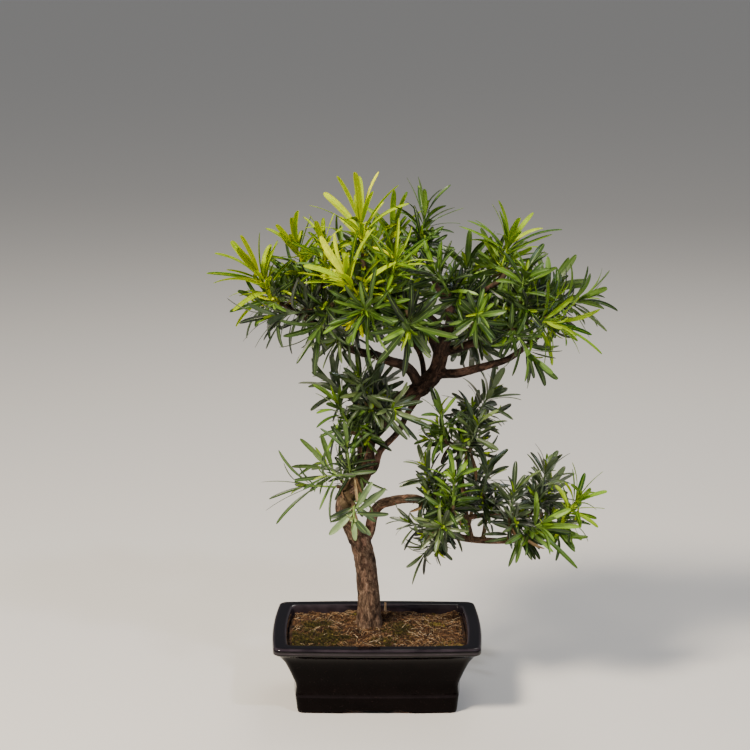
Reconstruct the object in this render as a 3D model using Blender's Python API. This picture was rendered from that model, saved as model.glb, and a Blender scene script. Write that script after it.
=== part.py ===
# Buddhist pine bonsai in a glazed oblong pot, modelled at real size in metres, +Z up.
# The origin is the middle of the pot's underside, and the front of the tree faces -Y.
import math
import random

import bmesh
import bpy
from mathutils import Matrix, Quaternion, Vector
from mathutils.bvhtree import BVHTree

MM = 0.001

# Driving dimensions, in millimetres
POT_WIDTH = 200.0           # across the rim, corner to corner
POT_DEPTH = 150.0
POT_HEIGHT = 73.0
RIM_BOW = 3.0               # how far the middle of each side stands out past its corners
CORNER_RADIUS = 8.0
RIM_FLANGE = 13.5           # width of the flat rim
WALL = 6.5
FLOOR = 8.0
FOOT_RECESS = 3.0           # depth of the hollow under the pot
FOOT_WIDTH = 9.0
FOOT_DRAFT = 1.5            # how far the foot's inner face leans in
ARCH_WIDTH = 70.0           # low arch between the feet
ARCH_HEIGHT = 5.0
DRAIN_RADIUS = 8.0
DRAIN_OFFSET = 42.0
NET_SIZE = 26.0             # plastic net over each drain hole
NET_THICKNESS = 1.0
NET_HOLES = 3               # along each side
NET_BAR = 2.0
CUTTER_DROP = 5.0           # how far cutters reach past the face that they open
GAP = 0.3                   # clearance that neighbouring pieces keep
SOIL_EDGE = 65.0            # height of the soil along the pot's wall
SOIL_CROWN = 74.0           # height of the soil round the trunk
TRUNK_RADIUS = 12.0         # where it enters the soil
TRUNK_SIDES = 12
TRUNK_FOOT = (-8.0, 0.0)
TRUNK_SUNK = 34.0           # how deep the trunk stands below the soil's crown
DRY_STEM = (8.5, 33.0)      # place of the dead shoot beside the trunk
DRY_STEM_RADIUS = 1.6
DRY_STEM_SUNK = 14.0
DRY_STEM_RISE = 12.0        # how far it stands above the soil's crown
BLADE_KEEL = 1.2            # thickness of a leaf along its midrib
BLADE_SHOULDER = 0.46       # half width at the second station, as a share of a leaf's width
BLADE_END = 0.43            # the same at the third station
ROOT_WIDTH = 1.3            # where a leaf leaves its stem
ROOT_KEEL = 0.8
ROOT_OFFSET = 0.25          # from the stem's axis to the root's middle
ROOT_CROWD = 3.5            # this close to the stem, leaves may run into each other
STEM_RADIUS = 1.4           # green stem of a shoot
TWIG_RADIUS = 1.9           # brown twig that carries it
TWIG_END = 4.0              # straight end of a twig, square to the shoot that it bears
STEM_LENGTH = 30.0
SLIVER_RATIO = 0.66         # share of faces kept where pieces are fused
LOWEST_LEAN = 66.0          # angle between a shoot and its lowest leaf
HIGHEST_LEAN = 24.0
GOLDEN_ANGLE = 137.5

# Outer profile of the pot, bottom to top: inset from the rim and height
WAIST = 21.4
POT_PROFILE = [(23.6, 0.0), (22.4, 1.6), (21.2, 12.0), (20.3, 22.0), (20.6, 24.0), (WAIST, 27.0),
               (19.0, 35.0), (15.2, 45.0), (10.8, 55.0), (5.6, 62.3), (0.9, 65.6), (0.0, 67.4), (0.0, 71.8),
               (1.0, POT_HEIGHT)]
LIP_LEAN = 1.2              # how far the inner wall stands in under the rim's inner edge

# Colours as linear red, green and blue
GLAZE = (0.006, 0.004, 0.005)
SOIL = (0.16, 0.10, 0.045)
BARK = (0.17, 0.10, 0.06)
NET = (0.02, 0.02, 0.02)
DRY_WOOD = (0.35, 0.18, 0.07)
LEAF_GREENS = {"fresh": (0.33, 0.40, 0.05), "bright": (0.19, 0.30, 0.04), "green": (0.07, 0.16, 0.03),
               "dark": (0.03, 0.09, 0.03)}

# Limbs: the points that each runs through, in millimetres, and its radius at start and end.
# Each limb starts inside the one that bears it.
LIMBS = {
    "bole": ([(-8, 0, 78), (-8, 0, 98), (-11, 0, 132), (-15, -2, 154), (-20, -3, 168)], 11.6, 9.6),
    "left": ([(-19, -3, 160), (-26, -6, 178), (-32, -8, 190), (-31, -8, 203), (-24, -6, 212), (-17, -4, 222),
              (-11, 0, 236), (-11, 4, 252), (-8, 6, 263), (1, 6, 273), (8, 4, 285), (17, 2, 295),
              (32, 0, 306), (46, 0, 314)], 8.6, 8.0),
    "thin": ([(-15, -2, 226), (-3, 8, 229), (2, 18, 243), (7, 22, 249), (21, 26, 263), (30, 28, 281),
              (40, 32, 296), (46, 42, 312), (43, 55, 334), (31, 62, 352)], 3.2, 2.4),
    "right": ([(-17, -2, 156), (-8, 2, 166), (-4, 4, 184), (3, 1, 195), (13, -4, 200), (25, -6, 203),
               (40, -4, 202), (54, 2, 191), (66, 6, 172), (77, 4, 163), (97, 0, 160), (125, -4, 160),
               (150, -2, 162), (176, 0, 164)], 5.4, 2.0),
    "upper_left": ([(42, 0, 312), (33, -6, 330), (24, -8, 337), (12, -10, 341), (-2, -10, 347),
                    (-16, -12, 350), (-31, -14, 357), (-50, -14, 373), (-72, -12, 386), (-90, -10, 397)],
                   5.2, 2.4),
    "upright": ([(42, 0, 312), (55, 2, 325), (60, 2, 338), (62, 0, 350), (66, 0, 362), (72, 4, 378),
                 (67, 8, 397), (54, 8, 420), (47, 4, 444)], 8.8, 2.4),
    "low_right": ([(57, 2, 326), (76, -6, 328), (86, -10, 331), (110, -16, 339), (124, -18, 344),
                   (138, -20, 354), (154, -16, 366)], 4.8, 2.0),
    "high_right": ([(62, 0, 347), (86, 10, 352), (102, 16, 358), (124, 22, 370), (148, 24, 382),
                    (165, 20, 391)], 4.4, 2.0),
    "crown_left": ([(66, 2, 365), (51, -10, 383), (29, -22, 398), (7, -26, 411), (-9, -24, 427),
                    (-14, -18, 442)], 3.8, 2.0),
    "crown_right": ([(71, 4, 379), (87, -6, 400), (106, -12, 412), (119, -10, 421), (124, -4, 430)],
                    3.4, 2.0),
    "back_left": ([(60, 2, 342), (50, 20, 360), (30, 36, 376), (6, 48, 388), (-20, 54, 394)], 3.6, 2.0),
    "back_right": ([(66, 2, 360), (78, 24, 372), (92, 44, 384), (104, 52, 396)], 3.4, 2.0),
    "riser": ([(93, 0, 160), (87, -4, 186), (84, -8, 213), (79, -10, 238), (80, -10, 258)], 2.6, 2.0),
    "lower_back": ([(66, 6, 172), (84, 18, 176), (112, 28, 178), (146, 32, 178)], 2.8, 1.9),
}

# Shoots by spray: limb that bears it, middle of its rosette, the way it grows, number of leaves, leaf
# length, leaf width, shade, and where the tips of its plainest leaves stand from the middle, across and up.
SHOOTS = {
    "crown_left": [
        ("upper_left", (-108, -15, 418), (-0.45, -0.15, 0.9), 12, 50, 7, "fresh",
         [(-50, 14), (-34, 33), (-16, 43), (-5, 47), (9, 43)]),
        ("upper_left", (-86, -40, 392), (-0.95, -0.25, -0.1), 12, 46, 6, "dark",
         [(-48, 6), (-38, -14), (-20, -26)]),
        ("upper_left", (-74, 12, 438), (-0.3, 0.1, 0.95), 11, 42, 7, "fresh", [(-6, 42), (-20, 30)]),
        ("upper_left", (-50, -26, 448), (-0.1, -0.2, 0.95), 11, 38, 6, "fresh",
         [(-9, 32), (8, 34), (11, 26)]),
        ("upper_left", (-74, 52, 404), (-0.6, 0.7, 0.4), 11, 46, 7, "green", []),
        ("upper_left", (-52, -54, 384), (-0.4, -0.5, -0.65), 11, 42, 6, "green",
         [(-7, -42), (-19, -34), (-34, -12)]),
    ],
    "crown_top": [
        ("crown_left", (-25, -62, 424), (-0.5, -0.35, 0.75), 11, 50, 9, "fresh",
         [(12, 54), (-41, 7), (-37, 22), (-18, 43)]),
        ("crown_left", (-15, -12, 466), (-0.05, -0.1, 1.0), 12, 52, 8, "fresh",
         [(-18, 50), (-4, 54), (4, 53), (29, 49), (-41, 38), (-48, 23)]),
        ("upright", (14, 22, 450), (0.05, 0.1, 1.0), 11, 48, 6, "bright", [(1, 50), (8, 48)]),
        ("upright", (44, 0, 472), (0.2, 0.0, 1.0), 11, 42, 6, "green",
         [(-13, 42), (-3, 42), (34, 10), (26, 22)]),
        ("crown_left", (16, -54, 440), (0.15, -0.5, 0.8), 11, 44, 4, "bright", []),
        ("back_left", (-12, 66, 426), (-0.1, 0.7, 0.7), 11, 46, 7, "green", []),
    ],
    "crown_middle": [
        ("crown_right", (58, -56, 430), (-0.45, -0.4, 0.8), 11, 38, 6, "green",
         [(-36, 2), (-34, 11), (-1, 32), (17, 33)]),
        ("crown_left", (29, -86, 388), (0.0, -0.95, -0.2), 10, 42, 7, "green",
         [(-24, 32), (29, 18), (44, -11), (16, -25), (-3, -47), (-27, -36)]),
        ("crown_left", (-8, -74, 402), (-0.3, -0.85, 0.1), 11, 46, 5, "green", [(-7, -50), (-34, -8)]),
        ("high_right", (92, -72, 396), (0.05, -0.75, 0.35), 11, 32, 6, "green",
         [(-13, 15), (15, -14), (-1, -26), (-26, -19), (12, 23)]),
        ("upper_left", (-32, -40, 372), (-0.5, -0.5, -0.2), 11, 38, 6, "dark", [(-30, -10), (-10, -34)]),
    ],
    "crown_right": [
        ("crown_right", (124, 0, 448), (0.25, -0.1, 0.95), 12, 48, 7, "bright",
         [(-41, 29), (-29, 35), (-10, 43), (9, 34), (43, 32), (41, 22), (36, -4)]),
        ("high_right", (137, -44, 424), (0.1, -0.3, 0.95), 11, 38, 7, "green", [(3, 6), (14, 26)]),
        ("low_right", (160, -48, 386), (0.9, -0.4, 0.0), 12, 50, 6, "bright",
         [(48, -21), (32, -14), (5, -34), (-2, 42), (9, 34)]),
        ("high_right", (190, 10, 396), (0.9, 0.0, 0.3), 11, 46, 6, "green",
         [(19, 14), (27, -1), (28, -14), (22, -30)]),
        ("low_right", (140, -58, 362), (0.5, -0.4, -0.65), 11, 38, 6, "green", [(16, -27), (-1, -24)]),
        ("back_right", (116, 52, 416), (0.2, 0.65, 0.7), 11, 46, 7, "green", []),
        ("high_right", (166, 60, 396), (0.55, 0.75, 0.3), 11, 46, 7, "green", []),
        ("crown_right", (88, 26, 420), (-0.1, 0.3, 0.95), 11, 42, 7, "green", []),
    ],
    "crown_back": [
        ("back_left", (28, 92, 386), (0.0, 0.95, 0.2), 11, 46, 7, "green", []),
        ("back_left", (-30, 84, 372), (-0.5, 0.8, 0.0), 11, 46, 7, "dark", []),
        ("back_right", (98, 86, 344), (0.25, 0.95, -0.1), 11, 44, 7, "dark", []),
    ],
    "middle_left": [
        ("left", (-34, -20, 294), (-0.4, -0.2, 0.9), 9, 36, 6, "green",
         [(-1, 42), (-23, -2), (-22, 19), (-22, -24)]),
        ("left", (-15, -38, 325), (-0.2, -0.4, 0.85), 9, 34, 6, "dark", []),
        ("left", (10, -38, 300), (0.4, -0.7, 0.2), 9, 38, 6, "dark",
         [(1, 36), (31, 10), (42, -15), (33, -26)]),
        ("left", (-38, 26, 306), (-0.7, 0.5, 0.5), 9, 40, 7, "dark", []),
        ("left", (-2, 44, 302), (0.1, 0.9, 0.4), 9, 40, 7, "dark", []),
    ],
    "middle_right": [
        ("riser", (62, -32, 288), (-0.15, -0.3, 0.9), 9, 32, 6, "green",
         [(-16, 21), (-4, 28), (20, 0), (-30, -26), (-15, -25)]),
        ("riser", (94, -34, 278), (0.2, -0.4, 0.85), 8, 32, 6, "dark", [(-13, 21), (15, -24), (22, -9)]),
        ("riser", (106, -2, 302), (0.5, 0.0, 0.85), 9, 38, 8, "dark",
         [(-3, 28), (31, 8), (28, -9), (-37, 17)]),
    ],
    "lower_left": [
        ("left", (-28, -30, 254), (-0.1, -0.3, 0.95), 9, 32, 6, "green",
         [(-22, 25), (2, 27), (21, 28), (19, 11), (-24, 0)]),
        ("left", (-42, -42, 236), (-0.7, -0.6, 0.1), 8, 38, 5, "green", [(-21, -5), (30, 6)]),
        ("left", (-60, -12, 218), (-0.95, -0.2, 0.1), 9, 46, 5, "green",
         [(-16, 23), (-44, 10), (-47, -18), (-42, -30)]),
        ("left", (-22, -50, 199), (0.0, -0.95, -0.15), 7, 30, 7, "green",
         [(30, 24), (32, -1), (0, -26), (-24, -20), (16, 27)]),
        ("left", (-46, 30, 224), (-0.5, 0.75, 0.35), 9, 40, 6, "green", []),
    ],
    "lower_right": [
        ("right", (50, -22, 232), (-0.3, -0.2, 0.95), 9, 32, 6, "dark", [(-30, -2), (-10, 14), (2, 22)]),
        ("right", (73, -44, 226), (0.0, -0.25, 0.95), 9, 32, 6, "green", [(-2, 33), (10, 30)]),
        ("right", (106, -14, 230), (0.1, -0.2, 0.95), 9, 30, 6, "dark", [(-17, 8), (13, 20), (26, 2)]),
        ("right", (130, -40, 212), (0.1, -0.3, 0.95), 9, 32, 6, "dark", [(19, 30), (-10, 20)]),
        ("right", (164, 12, 220), (0.2, 0.15, 0.95), 9, 34, 6, "dark", [(-6, 26), (21, 27)]),
        ("right", (190, -18, 200), (0.5, -0.3, 0.8), 9, 36, 7, "bright",
         [(3, 40), (20, 33), (28, 17), (29, -11), (-10, 29)]),
        ("right", (152, -42, 186), (0.5, -0.6, 0.4), 8, 38, 6, "green", [(43, -36), (40, 3), (-20, -8)]),
        ("right", (62, -44, 186), (0.1, -0.8, 0.3), 9, 30, 6, "dark", [(-14, 6), (20, -10), (6, -24)]),
        ("right", (38, -14, 180), (-0.7, -0.4, 0.3), 8, 30, 5, "dark", [(-22, 6), (-16, -14)]),
        ("lower_back", (98, 52, 200), (0.1, 0.8, 0.6), 9, 38, 7, "dark", []),
        ("lower_back", (168, 50, 192), (0.5, 0.7, 0.5), 9, 38, 7, "dark", []),
        ("right", (52, 8, 150), (-0.5, -0.2, -0.5), 7, 30, 5, "dark", [(-16, -30), (-24, 4)]),
    ],
}


def clear_scene():
    for item in list(bpy.data.objects):
        bpy.data.objects.remove(item, do_unlink=True)


def make_material(name, colour, roughness):
    material = bpy.data.materials.new(name)
    material.use_nodes = True
    shader = material.node_tree.nodes["Principled BSDF"]
    shader.inputs["Base Color"].default_value = (*colour, 1.0)
    shader.inputs["Roughness"].default_value = roughness
    material.diffuse_color = (*colour, 1.0)
    return material


def add_object(name, points, faces, material=None):
    # Makes an object from points in millimetres
    mesh = bpy.data.meshes.new(name)
    mesh.from_pydata([Vector(point) * MM for point in points], [], faces)
    mesh.update()
    item = bpy.data.objects.new(name, mesh)
    bpy.context.scene.collection.objects.link(item)
    if material:
        mesh.materials.append(material)
    return item


def as_cutter(item):
    item.hide_render = True
    item.display_type = "WIRE"
    return item


def add_boolean(item, operation, cutter):
    modifier = item.modifiers.new(operation.lower(), "BOOLEAN")
    modifier.operation = operation
    modifier.solver = "EXACT"
    modifier.object = cutter


def fuse(item, pieces):
    # Joins the pieces to the item by one union on a collection, collapses the slivers that it leaves
    # round the joints, and removes the pieces
    group = bpy.data.collections.new(item.name + "_pieces")
    bpy.context.scene.collection.children.link(group)
    for piece in pieces:
        bpy.context.scene.collection.objects.unlink(piece)
        group.objects.link(piece)
    modifier = item.modifiers.new("union", "BOOLEAN")
    modifier.operation = "UNION"
    modifier.solver = "EXACT"
    modifier.operand_type = "COLLECTION"
    modifier.collection = group
    collapse = item.modifiers.new("collapse", "DECIMATE")
    collapse.ratio = SLIVER_RATIO
    graph = bpy.context.evaluated_depsgraph_get()
    joined = bpy.data.meshes.new_from_object(item.evaluated_get(graph), depsgraph=graph)
    item.modifiers.clear()
    item.data = joined
    for piece in pieces:
        bpy.data.objects.remove(piece, do_unlink=True)
    bpy.data.collections.remove(group)


def keep_largest_body(item):
    # Drops loose scraps, keeping the body with the most faces
    model = bmesh.new()
    model.from_mesh(item.data)
    model.faces.ensure_lookup_table()
    seen = set()
    bodies = []
    for face in model.faces:
        if face.index in seen:
            continue
        body = []
        queue = [face]
        seen.add(face.index)
        while queue:
            current = queue.pop()
            body.append(current)
            for edge in current.edges:
                for neighbour in edge.link_faces:
                    if neighbour.index not in seen:
                        seen.add(neighbour.index)
                        queue.append(neighbour)
        bodies.append(body)
    bodies.sort(key=len)
    scraps = [face for body in bodies[:-1] for face in body]
    bmesh.ops.delete(model, geom=scraps, context="FACES")
    model.to_mesh(item.data)
    model.free()


def loft(rings):
    # Skins rings of equal length, listed from start to end, each anticlockwise seen from the end, and
    # closes both ends
    points = [point for ring in rings for point in ring]
    count = len(rings[0])
    faces = []
    for row in range(len(rings) - 1):
        for column in range(count):
            following = (column + 1) % count
            faces.append((row * count + column, row * count + following,
                          (row + 1) * count + following, (row + 1) * count + column))
    faces.append(tuple(reversed(range(count))))
    faces.append(tuple(range((len(rings) - 1) * count, len(rings) * count)))
    return points, faces


def bowed_outline(inset, height, side_steps=4, corner_steps=3):
    # Rounded rectangle whose sides bow out, inset from the rim's outline
    half_x = POT_WIDTH / 2 - inset
    half_y = POT_DEPTH / 2 - inset
    radius = CORNER_RADIUS * (1.0 - 0.35 * min(inset / 25.0, 1.0))
    bow = RIM_BOW * (1.0 - 0.5 * min(inset / 22.0, 1.0))
    ring = []
    sides = [((half_x, -half_y + radius), (half_x, half_y - radius), (bow, 0)),
             ((half_x - radius, half_y), (-half_x + radius, half_y), (0, bow)),
             ((-half_x, half_y - radius), (-half_x, -half_y + radius), (-bow, 0)),
             ((-half_x + radius, -half_y), (half_x - radius, -half_y), (0, -bow))]
    for index, (start, end, lean) in enumerate(sides):
        for step in range(side_steps + 1):
            along = step / side_steps
            swell = 4.0 * along * (1.0 - along)
            ring.append((start[0] + (end[0] - start[0]) * along + lean[0] * swell,
                         start[1] + (end[1] - start[1]) * along + lean[1] * swell, height))
        centre_x = half_x - radius if index in (0, 3) else -half_x + radius
        centre_y = half_y - radius if index in (0, 1) else -half_y + radius
        for step in range(1, corner_steps):
            angle = math.radians(90.0 * index + 90.0 * step / corner_steps)
            ring.append((centre_x + radius * math.cos(angle), centre_y + radius * math.sin(angle), height))
    return ring


def inner_profile():
    # Inset and height of the pot's inside, from the floor up to the rim's inner edge
    neck = WAIST + WALL
    half_lean = LIP_LEAN / 2
    return [(neck + 4.0, FLOOR), (neck, FLOOR + 4.0), (neck - 1.0, 28.0), (22.6, 42.0), (17.6, 54.0),
            (RIM_FLANGE + LIP_LEAN, 63.0), (RIM_FLANGE + half_lean, POT_HEIGHT - LIP_LEAN),
            (RIM_FLANGE - half_lean, POT_HEIGHT)]


def add_cylinder(name, centre, radius, low, high, sides):
    ring = [(centre[0] + radius * math.cos(math.tau * step / sides),
             centre[1] + radius * math.sin(math.tau * step / sides)) for step in range(sides)]
    points, faces = loft([[(x, y, low) for x, y in ring], [(x, y, high) for x, y in ring]])
    return add_object(name, points, faces)


def make_pot(material):
    outside = [bowed_outline(inset, height) for inset, height in POT_PROFILE]
    inside = [bowed_outline(inset, height) for inset, height in reversed(inner_profile())]
    points, faces = loft(outside + inside)
    pot = add_object("pot", points, faces, material)
    foot_inset = POT_PROFILE[0][0] + FOOT_WIDTH
    recess = [bowed_outline(foot_inset, -CUTTER_DROP), bowed_outline(foot_inset + FOOT_DRAFT, FOOT_RECESS)]
    add_boolean(pot, "DIFFERENCE", as_cutter(add_object("cutter_recess", *loft(recess))))
    for quarter in range(4):
        add_boolean(pot, "DIFFERENCE", make_arch_cutter(quarter, foot_inset))
    for side in (-1, 1):
        hole = add_cylinder("cutter_drain", (side * DRAIN_OFFSET, 0.0), DRAIN_RADIUS, -CUTTER_DROP,
                            FLOOR + CUTTER_DROP, 16)
        add_boolean(pot, "DIFFERENCE", as_cutter(hole))


def make_arch_cutter(quarter, foot_inset):
    # Low arch through the foot ring, on the side that faces a quarter turn further each time
    long_side = quarter % 2 == 0
    width = ARCH_WIDTH if long_side else ARCH_WIDTH * POT_DEPTH / POT_WIDTH
    near = (POT_DEPTH if long_side else POT_WIDTH) / 2 - foot_inset - FOOT_DRAFT
    section = [(-width / 2, -CUTTER_DROP)]
    steps = 8
    for step in range(1, steps):
        angle = math.pi * step / steps
        section.append((-width / 2 * math.cos(angle), ARCH_HEIGHT * math.sin(angle) ** 0.7))
    section.append((width / 2, -CUTTER_DROP))
    turn = Matrix.Rotation(math.radians(90.0 * quarter), 3, "Z")
    rings = [[turn @ Vector((x, -depth, z)) for x, z in reversed(section)] for depth in (near, POT_WIDTH)]
    return as_cutter(add_object("cutter_arch", *loft(rings)))


def soil_height(x, y):
    # Mounded round the trunk and a little uneven
    reach = math.hypot((x - TRUNK_FOOT[0]) / 95.0, (y - TRUNK_FOOT[1]) / 68.0)
    mound = SOIL_EDGE + (SOIL_CROWN - SOIL_EDGE) * max(0.0, 1.0 - reach) ** 0.8
    lumps = 0.9 * math.sin(x * 0.13 + 1.0) * math.cos(y * 0.17) + 0.6 * math.sin(x * 0.31 + y * 0.27)
    return mound + lumps


def make_soil(material):
    inset_gap = GAP + 0.1
    wall_rings = []
    for inset, height in inner_profile():
        if height < SOIL_EDGE - 4.0:
            wall_rings.append(bowed_outline(inset + inset_gap, max(height, FLOOR + GAP)))
    outline = bowed_outline(RIM_FLANGE + LIP_LEAN + inset_gap, 0.0)
    hole_radius = (TRUNK_RADIUS + GAP) / math.cos(math.pi / len(outline))
    angles = [math.atan2(y, x) for x, y, z in outline]
    hole = [(TRUNK_FOOT[0] + hole_radius * math.cos(angle), TRUNK_FOOT[1] + hole_radius * math.sin(angle))
            for angle in angles]
    rings = list(wall_rings)
    for blend in (0.0, 0.2, 0.45, 0.72, 0.9, 1.0):
        ring = []
        for (edge_x, edge_y, _), (hole_x, hole_y) in zip(outline, hole):
            x = edge_x + (hole_x - edge_x) * blend
            y = edge_y + (hole_y - edge_y) * blend
            ring.append((x, y, soil_height(x, y)))
        rings.append(ring)
    hole_floor = SOIL_CROWN - TRUNK_SUNK - GAP
    rings.append([(x, y, hole_floor) for x, y in hole])
    points, faces = loft(rings)
    soil = add_object("soil", points, faces, material)
    dry_hole = add_cylinder("cutter_dry_hole", DRY_STEM, DRY_STEM_RADIUS + GAP + 0.1,
                            SOIL_CROWN - DRY_STEM_SUNK - GAP, SOIL_CROWN + DRY_STEM_RISE, 8)
    add_boolean(soil, "DIFFERENCE", as_cutter(dry_hole))
    for side in (-1, 1):
        half = NET_SIZE / 2 + GAP
        centre = side * DRAIN_OFFSET
        low = [(centre - half, -half), (centre + half, -half), (centre + half, half), (centre - half, half)]
        top = FLOOR + GAP + NET_THICKNESS + GAP
        points, faces = loft([[(x, y, 0.0) for x, y in low], [(x, y, top) for x, y in low]])
        add_boolean(soil, "DIFFERENCE", as_cutter(add_object("cutter_net", points, faces)))


def make_drain_net(side, material):
    # Square of plastic net with a grid of holes, lying over a drain hole
    centre = side * DRAIN_OFFSET
    pitch = (NET_SIZE - NET_BAR) / NET_HOLES
    lines = []
    for step in range(NET_HOLES + 1):
        lines += [step * pitch - NET_SIZE / 2, step * pitch - NET_SIZE / 2 + NET_BAR]
    low = FLOOR + GAP
    model = bmesh.new()
    corners = {}
    for i, x in enumerate(lines):
        for j, y in enumerate(lines):
            corners[i, j] = model.verts.new(Vector((centre + x, y, low)) * MM)
    flat = []
    for i in range(len(lines) - 1):
        for j in range(len(lines) - 1):
            if i % 2 and j % 2:
                continue
            square = (corners[i, j], corners[i, j + 1], corners[i + 1, j + 1], corners[i + 1, j])
            flat.append(model.faces.new(square))
    result = bmesh.ops.extrude_face_region(model, geom=flat)
    moved = [item for item in result["geom"] if isinstance(item, bmesh.types.BMVert)]
    bmesh.ops.translate(model, verts=moved, vec=Vector((0.0, 0.0, NET_THICKNESS * MM)))
    bmesh.ops.recalc_face_normals(model, faces=model.faces)
    name = "drain_net_left" if side < 0 else "drain_net_right"
    mesh = bpy.data.meshes.new(name)
    model.to_mesh(mesh)
    model.free()
    mesh.materials.append(material)
    item = bpy.data.objects.new(name, mesh)
    bpy.context.scene.collection.objects.link(item)


def smooth_path(points, steps):
    # Evenly read points of a Catmull-Rom curve through the given ones
    knots = [Vector(point) for point in points]
    knots = [knots[0] * 2 - knots[1]] + knots + [knots[-1] * 2 - knots[-2]]
    fine = []
    for index in range(1, len(knots) - 2):
        before, start, end, after = knots[index - 1:index + 3]
        for part in range(8):
            t = part / 8
            fine.append(0.5 * (2 * start + (end - before) * t
                               + (2 * before - 5 * start + 4 * end - after) * t ** 2
                               + (3 * start - before - 3 * end + after) * t ** 3))
    fine.append(knots[-2])
    lengths = [0.0]
    for first, second in zip(fine, fine[1:]):
        lengths.append(lengths[-1] + (second - first).length)
    path = []
    place = 0
    for step in range(steps + 1):
        target = lengths[-1] * step / steps
        while place < len(fine) - 2 and lengths[place + 1] < target:
            place += 1
        span = lengths[place + 1] - lengths[place]
        path.append(fine[place].lerp(fine[place + 1], (target - lengths[place]) / span))
    return path


def tube(path, radii, sides, unevenness=0.0, draw=None):
    # Rings square to the path, turned as little as possible from one to the next
    tangent = (path[1] - path[0]).normalized()
    across = tangent.orthogonal().normalized()
    rings = []
    for index, point in enumerate(path):
        before = path[max(index - 1, 0)]
        after = path[min(index + 1, len(path) - 1)]
        new_tangent = (after - before).normalized()
        across = (tangent.rotation_difference(new_tangent) @ across).normalized()
        tangent = new_tangent
        other = tangent.cross(across)
        ring = []
        for side in range(sides):
            angle = math.tau * side / sides
            radius = radii[index]
            if draw:
                radius *= 1.0 + unevenness * draw.uniform(-1.0, 1.0)
            ring.append(point + (across * math.cos(angle) + other * math.sin(angle)) * radius)
        rings.append(ring)
    return loft(rings)


def limb_radius(name, along):
    start, end = LIMBS[name][1:]
    return start + (end - start) * along


def make_limb(name, draw):
    points, start, end = LIMBS[name]
    length = sum((Vector(b) - Vector(a)).length for a, b in zip(points, points[1:]))
    thick = start > 4.0
    steps = max(4, round(length / (16.0 if thick else 24.0)))
    path = smooth_path(points, steps)
    radii = [start + (end - start) * step / steps for step in range(steps + 1)]
    return add_object(name, *tube(path, radii, 7 if thick else 5, 0.07, draw))


def make_bole(material, draw):
    # Straight foot in the soil's hole, then the uneven lower trunk above the soil
    points, start, end = LIMBS["bole"]
    steps = 8
    path = smooth_path(points, steps)
    foot_z = SOIL_CROWN - TRUNK_SUNK
    rows = [(Vector((*TRUNK_FOOT, foot_z)), TRUNK_RADIUS - 1.0, 0.0),
            (Vector((*TRUNK_FOOT, foot_z + 2.0)), TRUNK_RADIUS, 0.0), (path[0], TRUNK_RADIUS, 0.0)]
    for step in range(1, steps + 1):
        rows.append((path[step], start + (end - start) * step / steps, 0.06))
    rings = []
    for centre, radius, uneven in rows:
        ring = []
        for side in range(TRUNK_SIDES):
            angle = math.tau * side / TRUNK_SIDES
            size = radius * (1.0 + uneven * draw.uniform(-1.0, 1.0))
            ring.append((centre.x + size * math.cos(angle), centre.y + size * math.sin(angle), centre.z))
        rings.append(ring)
    return add_object("trunk", *loft(rings), material)


def plan_shoot(limb, middle, grows):
    # Foot and tip of the green stem, and the twig's path from the limb to the foot
    axis = Vector(grows).normalized()
    middle = Vector(middle)
    points = LIMBS[limb][0]
    samples = smooth_path(points, 40)
    foot = middle - axis * STEM_LENGTH * 0.7
    best = min(range(4, 41), key=lambda index: (samples[index] - foot).length
               + 0.5 * max(0.0, samples[index].z - foot.z))
    join = samples[best]
    knee = foot - axis * TWIG_END
    reach = (knee - join).length
    lean = (knee - join).normalized()
    run = (samples[min(best + 1, 40)] - samples[best - 1]).normalized()
    first = join + (lean * 0.7 + run * 0.5) * reach * 0.35
    second = knee - axis * reach * 0.3
    path = []
    steps = max(2, round(reach / 30.0))
    for step in range(steps + 1):
        t = step / steps
        rest = 1 - t
        path.append(join * rest ** 3 + first * 3 * t * rest ** 2 + second * 3 * t ** 2 * rest + knee * t ** 3)
    path.append(foot)
    start = min(TWIG_RADIUS, limb_radius(limb, best / 40) * 0.9)
    return axis, foot, middle + axis * STEM_LENGTH * 0.3, path, start


def blade(root, way, face, length, width, bend, grow=0.0, start=0.0):
    # Blade with a flat face and a keel below: three stations and a pointed tip, straight to the second
    # station and arched from there. For clearance tests it is grown by a margin or starts off its root.
    side = way.cross(face).normalized()
    root_half = ROOT_WIDTH / 2 + (width * BLADE_SHOULDER - ROOT_WIDTH / 2) * start / 0.3
    points = []
    for along, half in ((start, root_half), (0.30, width * BLADE_SHOULDER), (0.74, width * BLADE_END)):
        arch = max(0.0, along - 0.3)
        place = root + way * length * along - face * length * bend * arch ** 2
        up = (face + way * 2.0 * bend * arch).normalized()
        out = side * (half + grow)
        keel = BLADE_KEEL if along >= 0.3 else ROOT_KEEL
        points += [place - out + up * grow, place + out + up * grow, place - up * (keel + grow)]
    points.append(root + way * (length + grow) - face * (length * bend * 0.49 + BLADE_KEEL * 0.4))
    faces = [(0, 2, 1)]
    for row in (0, 3):
        faces += [(row, row + 1, row + 4), (row, row + 4, row + 3),
                  (row, row + 3, row + 5), (row, row + 5, row + 2),
                  (row + 1, row + 2, row + 5), (row + 1, row + 5, row + 4)]
    faces += [(6, 7, 9), (6, 9, 8), (7, 8, 9)]
    return points, faces


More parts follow.
